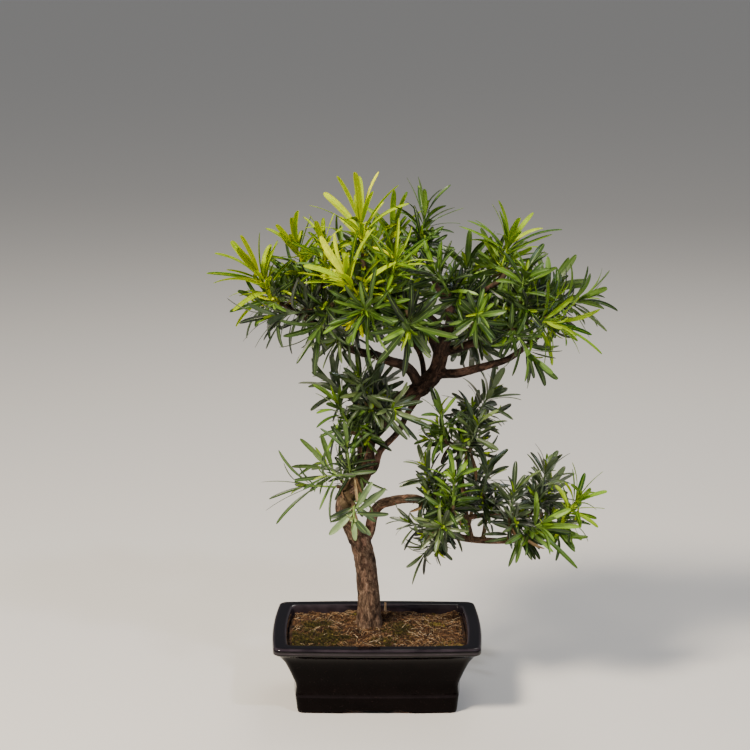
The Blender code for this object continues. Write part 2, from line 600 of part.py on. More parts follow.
class Placed:
    # Keeps what has been placed, to test a new piece against it
    def __init__(self):
        self.entries = []

    def add(self, group, points, faces):
        low = [min(point[axis] for point in points) for axis in range(3)]
        high = [max(point[axis] for point in points) for axis in range(3)]
        self.entries.append((group, low, high, BVHTree.FromPolygons(points, faces)))

    def clear(self, points, faces, skip=None):
        low = [min(point[axis] for point in points) for axis in range(3)]
        high = [max(point[axis] for point in points) for axis in range(3)]
        tree = None
        for group, other_low, other_high, other in self.entries:
            if group == skip:
                continue
            if any(low[axis] > other_high[axis] or high[axis] < other_low[axis] for axis in range(3)):
                continue
            tree = tree or BVHTree.FromPolygons(points, faces)
            if tree.overlap(other):
                return False
        return True


def leaf_wishes(axis, foot, tip, count, length, seen, draw):
    # Where each leaf would like to stand: root, way, length; the plainest ones first, then a spiral
    across = axis.orthogonal().normalized()
    other = axis.cross(across)
    wishes = []
    for index, (reach_x, reach_z) in enumerate(seen):
        reach = math.hypot(reach_x, reach_z)
        full = max(reach * 1.03, length * 0.85)
        depth = math.sqrt(full ** 2 - reach ** 2)
        toward = -1.0 if axis.y < 0.35 else 1.0
        way = Vector((reach_x, toward * depth * 0.8, reach_z)).normalized()
        open_angle = way.angle(axis)
        along = 1.0 - min(0.75, open_angle / math.pi) - 0.04 * index
        wishes.append((foot.lerp(tip, max(0.2, along)), way, full))
    turn = draw.uniform(0.0, 360.0)
    rest = max(0, count - len(seen))
    for index in range(rest):
        share = index / max(1, rest - 1)
        open_angle = math.radians(LOWEST_LEAN + (HIGHEST_LEAN - LOWEST_LEAN) * share)
        angle = math.radians(turn + GOLDEN_ANGLE * index)
        outward = across * math.cos(angle) + other * math.sin(angle)
        way = axis * math.cos(open_angle) + outward * math.sin(open_angle)
        size = length * (0.82 + 0.18 * math.sin(math.pi * (0.2 + 0.7 * share))) * draw.uniform(0.9, 1.05)
        wishes.append((foot.lerp(tip, 0.3 + 0.68 * share), way.normalized(), size))
    return wishes


def stem_side(axis, way):
    # Outward normal of the flat side of a four-sided stem that a leaf leaves by
    across = axis.orthogonal().normalized()
    other = axis.cross(across)
    quarter = math.floor(math.atan2(way.dot(other), way.dot(across)) / (math.pi / 2))
    angle = (quarter + 0.5) * math.pi / 2
    return across * math.cos(angle) + other * math.sin(angle)


def place_leaf(group, wish, axis, width, placed, sisters, draw):
    # Tries turns of growing size until the leaf stands clear of all other pieces
    seat, way, length = wish
    for attempt in range(90):
        loose = min(1.0, 0.02 * attempt)
        if attempt > 50:
            length *= 0.985
        turn = Vector((draw.gauss(0, 1), draw.gauss(0, 1), draw.gauss(0, 1))).normalized()
        new_way = (way + turn * loose * draw.random()).normalized()
        face = axis - new_way * axis.dot(new_way)
        if face.length < 0.2:
            face = Vector((0, 0, 1)) - new_way * new_way.z
        face = Quaternion(new_way, draw.uniform(-0.5, 0.5)) @ face.normalized()
        root = seat + stem_side(axis, new_way) * ROOT_OFFSET
        form = (root, new_way, face, length, width, draw.uniform(0.1, 0.5))
        if not placed.clear(*blade(*form, grow=GAP + 0.1), skip=group):
            continue
        outer = ROOT_CROWD / length
        if not sisters.clear(*blade(*form, grow=0.1, start=outer)):
            continue
        placed.add(group, *blade(*form))
        sisters.add(group, *blade(*form, start=outer))
        return blade(*form)
    return None


def make_shoots(plans, materials, placed):
    stems = []
    for name, plan, shoot in plans:
        axis, foot, tip = plan[:3]
        radii = [STEM_RADIUS, STEM_RADIUS * 0.95, STEM_RADIUS * 0.7]
        points, faces = tube([foot + axis * GAP, foot.lerp(tip, 0.5), tip], radii, 4)
        placed.add(name, points, faces)
        stems.append(add_object(name, points, faces, materials[shoot[6]]))
    total = 0
    for (name, plan, shoot), stem in zip(plans, stems):
        draw = random.Random(name)
        axis, foot, tip = plan[:3]
        count, length, width, _, seen = shoot[3:]
        sisters = Placed()
        leaves = []
        for wish in leaf_wishes(axis, foot, tip, count, length, seen, draw):
            leaf = place_leaf(name, wish, axis, width * draw.uniform(0.85, 1.05), placed, sisters, draw)
            if leaf:
                leaves.append(add_object("leaf", *leaf))
        total += len(leaves)
        fuse(stem, leaves)
        keep_largest_body(stem)
    print("leaves", total)


def main():
    clear_scene()
    glaze = make_material("glaze", GLAZE, 0.12)
    earth = make_material("soil", SOIL, 0.95)
    bark = make_material("bark", BARK, 0.9)
    net = make_material("net", NET, 0.6)
    dry = make_material("dry_wood", DRY_WOOD, 0.8)
    greens = {name: make_material("leaf_" + name, colour, 0.45) for name, colour in LEAF_GREENS.items()}
    make_pot(glaze)
    make_soil(earth)
    for side in (-1, 1):
        make_drain_net(side, net)
    stem = add_cylinder("dry_stem", DRY_STEM, DRY_STEM_RADIUS, SOIL_CROWN - DRY_STEM_SUNK,
                        SOIL_CROWN + DRY_STEM_RISE, 6)
    stem.data.materials.append(dry)

    draw = random.Random(7)
    trunk = make_bole(bark, draw)
    wood = [make_limb(name, draw) for name in LIMBS if name != "bole"]
    plans = []
    for spray, shoots in SHOOTS.items():
        for number, shoot in enumerate(shoots, 1):
            plan = plan_shoot(*shoot[:3])
            path, start = plan[3:]
            last = len(path) - 1
            radii = [start + (TWIG_RADIUS * 0.75 - start) * step / last for step in range(last + 1)]
            wood.append(add_object("twig", *tube(path, radii, 4)))
            plans.append((f"{spray}_shoot_{number}", plan, shoot))
    placed = Placed()
    for item in wood + [trunk]:
        placed.add("trunk", [point.co / MM for point in item.data.vertices],
                   [tuple(face.vertices) for face in item.data.polygons])
    fuse(trunk, wood)
    keep_largest_body(trunk)
    make_shoots(plans, greens, placed)


main()
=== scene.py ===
# Buddhist pine bonsai: fine leaves, bark, soil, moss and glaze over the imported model
import math
import random

import bmesh
import bpy
import numpy as np
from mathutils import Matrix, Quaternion, Vector, noise
from mathutils.bvhtree import BVHTree
from mathutils.kdtree import KDTree


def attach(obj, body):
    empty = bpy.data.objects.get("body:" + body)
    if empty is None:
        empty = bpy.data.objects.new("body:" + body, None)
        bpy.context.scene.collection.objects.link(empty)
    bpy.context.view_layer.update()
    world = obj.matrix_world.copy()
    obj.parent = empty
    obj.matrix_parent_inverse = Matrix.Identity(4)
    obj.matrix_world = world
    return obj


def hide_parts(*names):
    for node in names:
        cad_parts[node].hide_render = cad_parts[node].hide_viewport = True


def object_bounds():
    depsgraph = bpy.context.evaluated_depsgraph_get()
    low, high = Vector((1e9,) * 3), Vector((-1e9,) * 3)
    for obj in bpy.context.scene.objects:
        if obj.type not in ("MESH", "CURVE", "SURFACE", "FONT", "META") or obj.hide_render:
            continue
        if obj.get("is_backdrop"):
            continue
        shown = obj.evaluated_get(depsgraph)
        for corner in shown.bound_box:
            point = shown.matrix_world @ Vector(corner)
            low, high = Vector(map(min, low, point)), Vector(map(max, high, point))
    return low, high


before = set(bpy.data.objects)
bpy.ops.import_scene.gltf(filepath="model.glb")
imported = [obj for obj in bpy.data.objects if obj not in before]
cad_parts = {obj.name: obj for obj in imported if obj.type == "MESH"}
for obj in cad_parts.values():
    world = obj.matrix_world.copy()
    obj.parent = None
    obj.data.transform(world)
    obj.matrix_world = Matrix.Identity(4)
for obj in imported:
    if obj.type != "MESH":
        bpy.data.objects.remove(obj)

mm = 0.001
boxLow, boxHigh = (np.array(corner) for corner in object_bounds())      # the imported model's box
print("frame loaded")

# The photo's camera: place in metres, pitch in degrees, film width in mm, and in pixels the focal
# length and the photo's width
cameraSettings = {"place": (-0.002, -1.9965, 0.743), "pitch": 78.18, "film": 36, "focalPixels": 2113,
                  "photoPixels": 750}

bpy.ops.object.camera_add(location=cameraSettings["place"],
                          rotation=(math.radians(cameraSettings["pitch"]), 0, 0))
camera = bpy.context.object
camera.data.sensor_width = cameraSettings["film"]
camera.data.lens = cameraSettings["film"] * cameraSettings["focalPixels"] / cameraSettings["photoPixels"]
camera.data.clip_end = 100
bpy.context.scene.camera = camera


def linear(hexColour):
    # sRGB hex to linear colour
    parts = [int(hexColour[i:i + 2], 16) / 255 for i in (1, 3, 5)]
    return tuple(p / 12.92 if p <= 0.04045 else ((p + 0.055) / 1.055) ** 2.4 for p in parts) + (1.0,)


def setNode(node, settings):
    # Gives a node its values; a socket that is given a node takes that node's first output
    for name, value in settings.items():
        if isinstance(value, bpy.types.Node):
            value = value.outputs[0]
        if isinstance(value, bpy.types.NodeSocket):
            node.id_data.links.new(value, node.inputs[name])
        elif name == "stops":
            ramp = node.color_ramp
            while len(ramp.elements) < len(value):
                ramp.elements.new(0.5)
            for element, (place, colour) in zip(ramp.elements, value):
                element.position = place
                element.color = linear(colour)
        elif name == "range":           # lowest and highest value from the link, and what they become
            for socket, edge in zip(("From Min", "From Max", "To Min", "To Max"), value):
                node.inputs[socket].default_value = edge
        elif isinstance(name, str) and hasattr(node, name):
            setattr(node, name, value)
        else:
            node.inputs[name].default_value = value
    return node


def addNode(material, kind, settings=None):
    return setNode(material.node_tree.nodes.new("ShaderNode" + kind), settings or {})


def newMaterial(name, settings):
    # A material and its Principled shader, with constants on the shader's own sockets
    material = bpy.data.materials.new(name)
    material.use_nodes = True
    return material, setNode(material.node_tree.nodes["Principled BSDF"], settings)


def mottled(material, tint, pattern, stops, share=1.0):
    # The tint, darkened by a ramp over a pattern
    stain = addNode(material, "ValToRGB", {"stops": stops, "Fac": pattern})
    return addNode(material, "MixRGB", {"blend_type": "MULTIPLY", "Fac": share, "Color1": tint,
                                        "Color2": stain})


def plainMaterial(name, settings, stops=None, grain=None, stretch=None, mottle=None, relief=None):
    # The stops' colours follow the grain, a noise, or each copy's own tone where there is none. A mottle is
    # a noise whose stops darken them, and the relief of the grain has a strength and a depth in metres
    material, shader = newMaterial(name, settings)
    if grain or mottle:
        place = addNode(material, "TexCoord").outputs["Object"]
    if stretch:
        place = addNode(material, "Mapping", {"Scale": stretch, "Vector": place})
    if grain:
        pattern = addNode(material, "TexNoise", {**grain, "Vector": place})
    else:
        pattern = addNode(material, "Attribute", {"attribute_name": "tone"}).outputs["Fac"]
    if stops:
        tint = addNode(material, "ValToRGB", {"stops": stops, "Fac": pattern})
        if mottle:
            patch = addNode(material, "TexNoise", {**mottle[0], "Vector": place})
            tint = mottled(material, tint, patch, mottle[1])
        setNode(shader, {"Base Color": tint})
    if relief:
        strength, depth = relief
        bump = addNode(material, "Bump", {"Strength": strength, "Distance": depth, "Height": pattern})
        setNode(shader, {"Normal": bump})
    return material


def deselect():
    if bpy.context.mode != "OBJECT":
        bpy.ops.object.mode_set(mode="OBJECT")
    bpy.ops.object.select_all(action="DESELECT")


def makeActive(item):
    deselect()
    item.select_set(True)
    bpy.context.view_layer.objects.active = item


def pickVerts(item, test):
    # In edit mode, selects the vertices whose place passes the test
    model = bmesh.from_edit_mesh(item.data)
    model.select_mode = {"VERT"}
    for part in (model.faces, model.edges):
        for element in part:
            element.select = False
    for vert in model.verts:
        vert.select = bool(test(vert.co))
    model.select_flush_mode()
    bmesh.update_edit_mesh(item.data)


def pickEdges(item, test):
    # Enters edit mode with the edges selected that pass the test
    bpy.ops.object.mode_set(mode="EDIT")
    bpy.ops.mesh.select_all(action="DESELECT")
    bpy.ops.mesh.select_mode(type="EDGE")
    model = bmesh.from_edit_mesh(item.data)
    for edge in model.edges:
        edge.select = test(edge)
    bmesh.update_edit_mesh(item.data)


def runsAlong(axis, least):
    # A test for edges that run further than this along an axis
    return lambda edge: abs(edge.verts[0].co[axis] - edge.verts[1].co[axis]) > least


def extrudeProfile(profile, halfX, halfY, flatten=1):
    # Draws the selected outline through the profile's insets and heights, and flattens it in the first step
    inset, height = profile[0]
    for nextInset, nextHeight in profile[1:]:
        bpy.ops.mesh.extrude_edges_move(TRANSFORM_OT_translate={"value": (0, 0, (nextHeight - height) * mm)})
        bpy.ops.transform.resize(value=((halfX - nextInset) / (halfX - inset),
                                        (halfY - nextInset) / (halfY - inset), flatten),
                                 center_override=(0, 0, nextHeight * mm))
        inset, height, flatten = nextInset, nextHeight, 1


def leaveEditing():
    # Turns all faces outward and leaves edit mode
    bpy.ops.mesh.select_all(action="SELECT")
    bpy.ops.mesh.normals_make_consistent(inside=False)
    bpy.ops.object.mode_set(mode="OBJECT")


def shadeByAngle(item, degrees):
    makeActive(item)
    bpy.ops.object.shade_smooth_by_angle(angle=math.radians(degrees))


def placeOrigin(item):
    # The object goes to the origin, unturned and unscaled, with its place in its mesh
    makeActive(item)
    bpy.ops.object.transform_apply(location=True, rotation=True, scale=True)


def joinAll(items, name):
    # Joins all into the first
    deselect()
    for item in items:
        item.select_set(True)
    bpy.context.view_layer.objects.active = items[0]
    bpy.ops.object.join()
    items[0].name = name
    return items[0]


def dress(item, materials, slot, *nodes):
    # The piece gets its materials, rides with the one body and stands for its solids
    item.data.materials.clear()
    for material in materials:
        item.data.materials.append(material)
    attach(item, "root")
    if nodes:
        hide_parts(*nodes)


def asTemplate(item):
    # A tone for each copy, and the template's own points
    item.data.attributes.new("tone", "FLOAT", "POINT")
    points = np.empty(len(item.data.vertices) * 3, dtype=np.float32)
    item.data.vertices.foreach_get("co", points)
    return points.reshape(-1, 3).astype(float)


def placeCopies(name, template, shapes, tones):
    # One copy of the template for each array of points in metres, each with its own mesh, joined to one piece
    made = []
    count = len(template.data.vertices)
    for shape, tone in zip(shapes, tones):
        mesh = template.data.copy()
        mesh.vertices.foreach_set("co", np.asarray(shape, dtype=np.float32).ravel())
        mesh.attributes["tone"].data.foreach_set("value", np.full(count, tone, dtype=np.float32))
        item = bpy.data.objects.new(name, mesh)
        bpy.context.scene.collection.objects.link(item)
        made.append(item)
    joined = joinAll(made, name)
    for mesh in [mesh for mesh in bpy.data.meshes if mesh.users == 0]:
        bpy.data.meshes.remove(mesh)
    return joined


def smoothPath(points, steps):
    # Evenly spaced points of a smooth curve through the given ones
    knots = [Vector(point) for point in points]
    knots = [knots[0] * 2 - knots[1]] + knots + [knots[-1] * 2 - knots[-2]]
    fine = []
    for index in range(1, len(knots) - 2):
        before, start, end, after = knots[index - 1:index + 3]
        for part in range(8):
            t = part / 8
            fine.append(0.5 * (2 * start + (end - before) * t
                               + (2 * before - 5 * start + 4 * end - after) * t ** 2
                               + (3 * start - before - 3 * end + after) * t ** 3))
    fine.append(knots[-2])
    lengths = [0.0]
    for first, second in zip(fine, fine[1:]):
        lengths.append(lengths[-1] + (second - first).length)
    path = []
    place = 0
    for step in range(steps + 1):
        target = lengths[-1] * step / steps
        while place < len(fine) - 2 and lengths[place + 1] < target:
            place += 1
        span = lengths[place + 1] - lengths[place]
        path.append(fine[place].lerp(fine[place + 1], (target - lengths[place]) / span))
    return path


def pathFrames(path):
    # Each point of a path, the way it runs there, and two directions across it that turn with it
    tangent = (path[1] - path[0]).normalized()
    across = tangent.orthogonal().normalized()
    for before, point, after in zip(path[:1] + path, path, path[1:] + path[-1:]):
        newTangent = (after - before).normalized()
        across = (tangent.rotation_difference(newTangent) @ across).normalized()
        tangent = newTangent
        yield point, tangent, across, tangent.cross(across)


# Pot
potSettings = {
    "width": 200.0, "depth": 150.0, "bow": 3.0, "corner": 8.0, "footWidth": 9.0,
    "recess": 3.0, "recessTaper": (0.975, 0.965),
    "footMiddle": 27.5,                 # from the rim's outline to the middle of the foot
    "arch": (35.0, 26.25, 5.0),         # half width on the long and the short sides, and height
    "drain": (42.0, 8.0),               # offset and radius
    # inset from the rim's outline and height, up the outside, over the rim and down the inside
    "profile": [(23.6, 0.0), (22.9, 0.4), (22.4, 1.6), (22.0, 4.0), (21.2, 12.0), (20.7, 16.0), (20.45, 17.6),
                (20.5, 18.6), (20.9, 20.4), (21.2, 23.0), (21.3, 26.0), (20.8, 30.0), (19.0, 35.0),
                (15.2, 45.0), (10.8, 55.0), (5.6, 62.3), (2.6, 64.7), (1.6, 65.1), (0.9, 65.6), (0.3, 66.2),
                (0.0, 67.2), (0.0, 68.0), (0.0, 68.6), (0.0, 69.4), (0.1, 70.5), (0.45, 71.6), (1.1, 72.4),
                (2.0, 72.85), (3.2, 73.0), (7.0, 73.0), (11.0, 73.0), (12.2, 72.8), (13.2, 72.1),
                (13.9, 70.9), (14.4, 68.0), (14.7, 63.0), (17.6, 54.0), (22.6, 42.0), (26.9, 28.0),
                (27.9, 12.0), (29.0, 9.2), (31.9, 8.0)],
    "bareBelow": 4.5, "pooledAbove": 65.7,      # bare underside of the foot, and glaze pooled round the rim
    # purple grey lines along the rim's edges and the foot's ledge: partly glaze run thin, partly painted
    # highlight
    "edgeWearAndSheen": [(72.0, 1.2, 1.0), (68.3, 0.78, 1.3), (17.9, 1.0, 0.3)],       # height, reach and strength
    "flatRim": 72.9,
    # a painted reflection on the upper inner wall
    "innerWallReflection": (60.0, 71.0, 86.3, 63.2, 0.8),     # from and to this height, within these halves, strength
}


def potOutline(settings):
    # Flat outline of the rim: a plane with rounded corners and sides that bow out
    deselect()
    bpy.ops.mesh.primitive_plane_add(size=1)
    pot = bpy.context.object
    pot.name = "glazedPot"
    bpy.ops.object.mode_set(mode="EDIT")
    bpy.ops.mesh.select_all(action="SELECT")
    bpy.ops.transform.resize(value=(settings["width"] * mm, settings["depth"] * mm, 1),
                             center_override=(0, 0, 0))
    bpy.ops.mesh.bevel(offset=settings["corner"] * mm, segments=7, affect="VERTICES")
    bpy.ops.mesh.delete(type="ONLY_FACE")
    model = bmesh.from_edit_mesh(pot.data)
    for edge in model.edges:
        edge.select = edge.calc_length() > 0.05
    bmesh.update_edit_mesh(pot.data)
    bpy.ops.mesh.subdivide(number_cuts=17)
    model = bmesh.from_edit_mesh(pot.data)
    corner, bow = settings["corner"] * mm, settings["bow"] * mm
    for vert in model.verts:
        alongX = vert.co.x / (settings["width"] / 2 * mm - corner)
        alongY = vert.co.y / (settings["depth"] / 2 * mm - corner)
        if abs(alongX) < 1 and abs(alongX) < abs(alongY):
            vert.co.y += math.copysign(bow * (1 - alongX ** 2), vert.co.y)
        elif abs(alongY) < 1:
            vert.co.x += math.copysign(bow * (1 - alongY ** 2), vert.co.x)
    bmesh.update_edit_mesh(pot.data)
    return pot


def cutAway(item, cutter):
    makeActive(item)
    modifier = item.modifiers.new("cut", "BOOLEAN")
    modifier.operation = "DIFFERENCE"
    modifier.solver = "EXACT"
    modifier.object = cutter
    bpy.ops.object.modifier_apply(modifier=modifier.name)
    bpy.data.objects.remove(cutter, do_unlink=True)


def makePot(settings):
    pot = potOutline(settings)
    width, depth = settings["width"] / 2, settings["depth"] / 2
    bpy.ops.mesh.select_all(action="SELECT")
    inset = settings["profile"][0][0]
    bpy.ops.transform.resize(value=((width - inset) / width, (depth - inset) / depth, 1),
                             center_override=(0, 0, 0))
    extrudeProfile(settings["profile"], width, depth)
    bpy.ops.mesh.edge_face_add()        # floor inside
    pickVerts(pot, lambda place: place.z < 0.0001)
    bpy.ops.mesh.edge_face_add()        # underside
    bpy.ops.mesh.inset(thickness=settings["footWidth"] * mm)
    bpy.ops.mesh.extrude_region_move(TRANSFORM_OT_translate={"value": (0, 0, settings["recess"] * mm)})
    bpy.ops.transform.resize(value=(*settings["recessTaper"], 1),
                             center_override=(0, 0, settings["recess"] * mm))
    leaveEditing()

    archLong, archShort, archHeight = settings["arch"]
    reach = settings["footWidth"] + 6.0
    for turn, halfWidth, half in ((0, archLong, depth), (1, archShort, width)):
        for side in (-1, 1):            # low arches through the foot ring
            bpy.ops.mesh.primitive_cylinder_add(vertices=64, radius=1, depth=reach * mm,
                                                rotation=(math.pi / 2, 0, 0))
            cutter = bpy.context.object
            cutter.scale = (halfWidth * mm, archHeight * mm, 1)
            cutter.location = (0, side * (half - settings["footMiddle"]) * mm, 0)
            placeOrigin(cutter)
            if turn:
                cutter.rotation_euler.z = math.pi / 2
                placeOrigin(cutter)
            cutAway(pot, cutter)
    offset, radius = settings["drain"]
    for side in (-1, 1):
        bpy.ops.mesh.primitive_cylinder_add(vertices=48, radius=radius * mm, depth=30 * mm,
                                            location=(side * offset * mm, 0, 0))
        cutter = bpy.context.object
        placeOrigin(cutter)
        cutAway(pot, cutter)
    shadeByAngle(pot, 32)
    return pot


def glazePot(pot, settings):
    # Which faces are bare or pooled, and how thin the glaze is at each point, which also paints highlight
    # along the edges and a reflection on the upper inner wall
    for face in pot.data.polygons:
        if face.normal.z < -0.7 and face.center.z < settings["bareBelow"] * mm:
            face.material_index = 1
        elif face.center.z > settings["pooledAbove"] * mm and face.normal.z < 0.97:
            face.material_index = 2
    low, high, halfX, halfY, strength = settings["innerWallReflection"]
    thin = pot.data.attributes.new("thinGlaze", "FLOAT", "POINT")
    for vert in pot.data.vertices:
        x, y, height = vert.co / mm
        # painted highlight lines along the edges, partly thin glaze, and a painted reflection on the inner
        # wall
        wearAndSheen = [part * (1 - abs(height - edge) / reach) for edge, reach, part in settings["edgeWearAndSheen"]]
        inner = strength if low < height < high and abs(x) < halfX and abs(y) < halfY else 0.0
        thin.data[vert.index].value = max(0.0, inner, *wearAndSheen) if height < settings["flatRim"] else 0.0


# Glazed stoneware, dipped and fired: near black with a brown and purple cast, wet gloss, faint orange peel
# and pinholes, and a painted bluish reflection along the rim
glaze, shader = newMaterial("darkGlazedStoneware", {"IOR": 1.5, "Specular IOR Level": 0.05})
place = addNode(glaze, "TexCoord").outputs["Object"]
cloud = addNode(glaze, "TexNoise", {"Scale": 45, "Detail": 3, "Vector": place})     # 22 mm
tint = addNode(glaze, "ValToRGB", {"stops": [(0.3, "#050202"), (0.7, "#0a0505")], "Fac": cloud})
height = addNode(glaze, "SeparateXYZ", {"Vector": place}).outputs["Z"]
# painted bluish reflection over the upper outside and the top of the rim
paintedRimReflection = addNode(glaze, "MapRange", {"range": (0.0690, 0.0725, 0.0, 0.6), "Value": height})
tint = addNode(glaze, "MixRGB", {"Color2": linear("#0b0a12"), "Fac": paintedRimReflection, "Color1": tint})
# the glaze runs thin over the rim's edges and the foot's ledge and shows the clay's purple brown; these
# purple grey lines are partly painted highlight there, and on the upper inner wall they are a painted
# reflection
thin = addNode(glaze, "Attribute", {"attribute_name": "thinGlaze"}).outputs["Fac"]
patchy = addNode(glaze, "TexNoise", {"Scale": 90, "Detail": 2, "Vector": place})    # 11 mm
thinGlazeAndSheenMask = addNode(glaze, "Math", {"operation": "MULTIPLY", 0: thin, 1: patchy})
tint = addNode(glaze, "MixRGB", {"Color2": linear("#463c44"), "Fac": thinGlazeAndSheenMask, "Color1": tint})
speck = addNode(glaze, "TexNoise", {"Scale": 700, "Detail": 1, "Vector": place})    # 1.4 mm pinholes
speckMask = addNode(glaze, "MapRange", {"range": (0.70, 0.78, 0.0, 0.5), "Value": speck})
tint = addNode(glaze, "MixRGB", {"Color2": linear("#332726"), "Fac": speckMask, "Color1": tint})
wet = addNode(glaze, "MapRange", {"range": (0.0, 1.0, 0.04, 0.10), "Value": cloud})
peel = addNode(glaze, "TexNoise", {"Scale": 160, "Detail": 2, "Vector": place})     # 6 mm waves
bump = addNode(glaze, "Bump", {"Strength": 0.12, "Distance": 0.0006, "Height": peel})
setNode(shader, {"Base Color": tint, "Roughness": wet, "Normal": bump})

# The same glaze where it has pooled thick round the rim's edge: glassier
wetGlaze = glaze.copy()
wetGlaze.name = "pooledGlaze"
setNode(wetGlaze.node_tree.nodes["Principled BSDF"], {"Specular IOR Level": 0.3})

# Bare fired clay where the foot was wiped clean: brown, dry and sandy, with 1.1 mm grit
clay = plainMaterial("bareStoneware", {"Roughness": 0.85}, [(0.3, "#5b3d2d"), (0.7, "#7c5a45")],
                     grain={"Scale": 900, "Detail": 3}, relief=(0.4, 0.0004))

pot = makePot(potSettings)
dress(pot, (glaze, clay, wetGlaze), "glaze", "pot")
glazePot(pot, potSettings)
print("pot done", len(pot.data.polygons), "faces")

# Moulded polyethylene net over the drain holes: black, slightly waxy, with 0.8 mm grain
netPlastic = plainMaterial("mouldedPolyethylene", {"Roughness": 0.5, "Base Color": linear("#1b1b1c")},
                           grain={"Scale": 1200, "Detail": 2}, relief=(0.2, 0.0002))
for name in ("drain_net_left", "drain_net_right"):
    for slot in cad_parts[name].material_slots:
        slot.material = netPlastic

# Soil
trunkFoot = (-8.0, 0.0)
soilSettings = {
    "halfX": 84.9, "halfY": 59.9, "bow": 2.4, "corner": 6.6, "cells": (210, 148),
    "edge": 65.0, "crown": 74.0, "mound": (95.0, 68.0),     # height at the wall and at the trunk, and reach
    "rolls": 0.9, "ripples": 0.6,       # height of slow waves in the top
    "crumb": 1.5,                       # height of the lumps in the top
    "lumps": [(14.0, 1.0), (5.0, 0.7), (2.1, 0.45)],        # their widths in mm and shares of the height
    # near the wall: the share of the way out from which lumps are lower, and from which the soil has sunk
    "calm": (0.97, 0.3), "sunk": (0.93, 1.2),
    "bare": 10.0,                       # nothing lies nearer than this to the middle of the trunk
    "wall": [(3.2, 54.0), (8.2, 42.0), (12.0, 28.0), (13.0, 13.0), (16.5, 9.8)],    # further inset and height
}


def soilHeight(x, y):
    settings = soilSettings
    reach = math.hypot((x - trunkFoot[0]) / settings["mound"][0], (y - trunkFoot[1]) / settings["mound"][1])
    mound = settings["edge"] + (settings["crown"] - settings["edge"]) * max(0.0, 1.0 - reach) ** 0.8
    return (mound + settings["rolls"] * math.sin(x * 0.13 + 1.0) * math.cos(y * 0.17)
            + settings["ripples"] * math.sin(x * 0.31 + y * 0.27))


def crumbs(x, y):
    place = Vector((x, y, 0.0))
    lump = sum(noise.noise(place / size) * part for size, part in soilSettings["lumps"])
    return soilSettings["crumb"] * lump


def insideSoil(x, y, margin):
    # True if the place is on the soil's top, this far from its edge and clear of the trunk
    if abs(x) > soilSettings["halfX"] - margin or abs(y) > soilSettings["halfY"] - margin:
        return False
    return math.hypot(x - trunkFoot[0], y - trunkFoot[1]) > soilSettings["bare"]


def makeSoil(settings):
    deselect()
    cellsX, cellsY = settings["cells"]
    bpy.ops.mesh.primitive_grid_add(x_subdivisions=cellsX, y_subdivisions=cellsY, size=2)
    soil = bpy.context.object
    soil.name = "pottingSoil"
    calmFrom, calmLump = settings["calm"]
    sunkFrom, sunkDepth = settings["sunk"]
    for vert in soil.data.vertices:
        a, b = vert.co.x, vert.co.y
        x = a * (settings["halfX"] + settings["bow"] * (1 - b * b))
        y = b * (settings["halfY"] + settings["bow"] * (1 - a * a))
        overX = abs(x) - (settings["halfX"] - settings["corner"])
        overY = abs(y) - (settings["halfY"] - settings["corner"])
        if overX > 0 and overY > 0:     # square corner pressed to a round one
            shrink = max(overX, overY) / math.hypot(overX, overY)
            x -= math.copysign(overX * (1 - shrink), x)
            y -= math.copysign(overY * (1 - shrink), y)
        rim = max(abs(a), abs(b))
        lump = crumbs(x, y) * (1.0 if rim < calmFrom else calmLump)
        sink = sunkDepth * max(0.0, rim - sunkFrom) / (1.0 - sunkFrom)     # it settles a little along the pot
        vert.co = (x * mm, y * mm, (soilHeight(x, y) + lump - sink) * mm)
    pickEdges(soil, lambda edge: edge.is_boundary)
    extrudeProfile([(0.0, settings["edge"])] + settings["wall"], settings["halfX"], settings["halfY"], 0.05)
    bpy.ops.mesh.edge_face_add()
    leaveEditing()
    shadeByAngle(soil, 60)
    return soil


# Peat and bark potting mix, dry on top: brown crumbs of 2.6 mm, with painted shade that darkens the hollows
# of their relief, tan where fibres have broken up, in patches of 17 mm
peat = plainMaterial("peatSoil", {"Roughness": 0.95, "Specular IOR Level": 0.2},
                     [(0.32, "#150a03"), (0.5, "#332113"), (0.72, "#6b4c2f")],
                     grain={"Scale": 380, "Detail": 4, "Roughness": 0.65},
                     mottle=({"Scale": 60, "Detail": 3}, [(0.4, "#8a7a62"), (0.62, "#ffffff")]),
                     relief=(0.8, 0.0012))

soil = makeSoil(soilSettings)
dress(soil, (peat,), "soil", "soil")
print("soil done", len(soil.data.polygons), "faces")


def scatter(name, template, settings, makeShape):
    # Strews copies of the template over the soil; makeShape gives each its points in mm and tone, or nothing
    draw = random.Random(settings["seed"])
    points = asTemplate(template)
    shapes, tones = [], []
    while len(shapes) < settings["count"]:
        x = draw.uniform(-1, 1) * (soilSettings["halfX"] - settings["margin"])
        y = draw.uniform(-1, 1) * (soilSettings["halfY"] - settings["margin"])
        made = makeShape(x, y, points, settings, draw)
        if made:
            shapes.append(made[0] * mm)
            tones.append(made[1])
    strewn = placeCopies(name, template, shapes, tones)
    bpy.data.objects.remove(template, do_unlink=True)
    return strewn


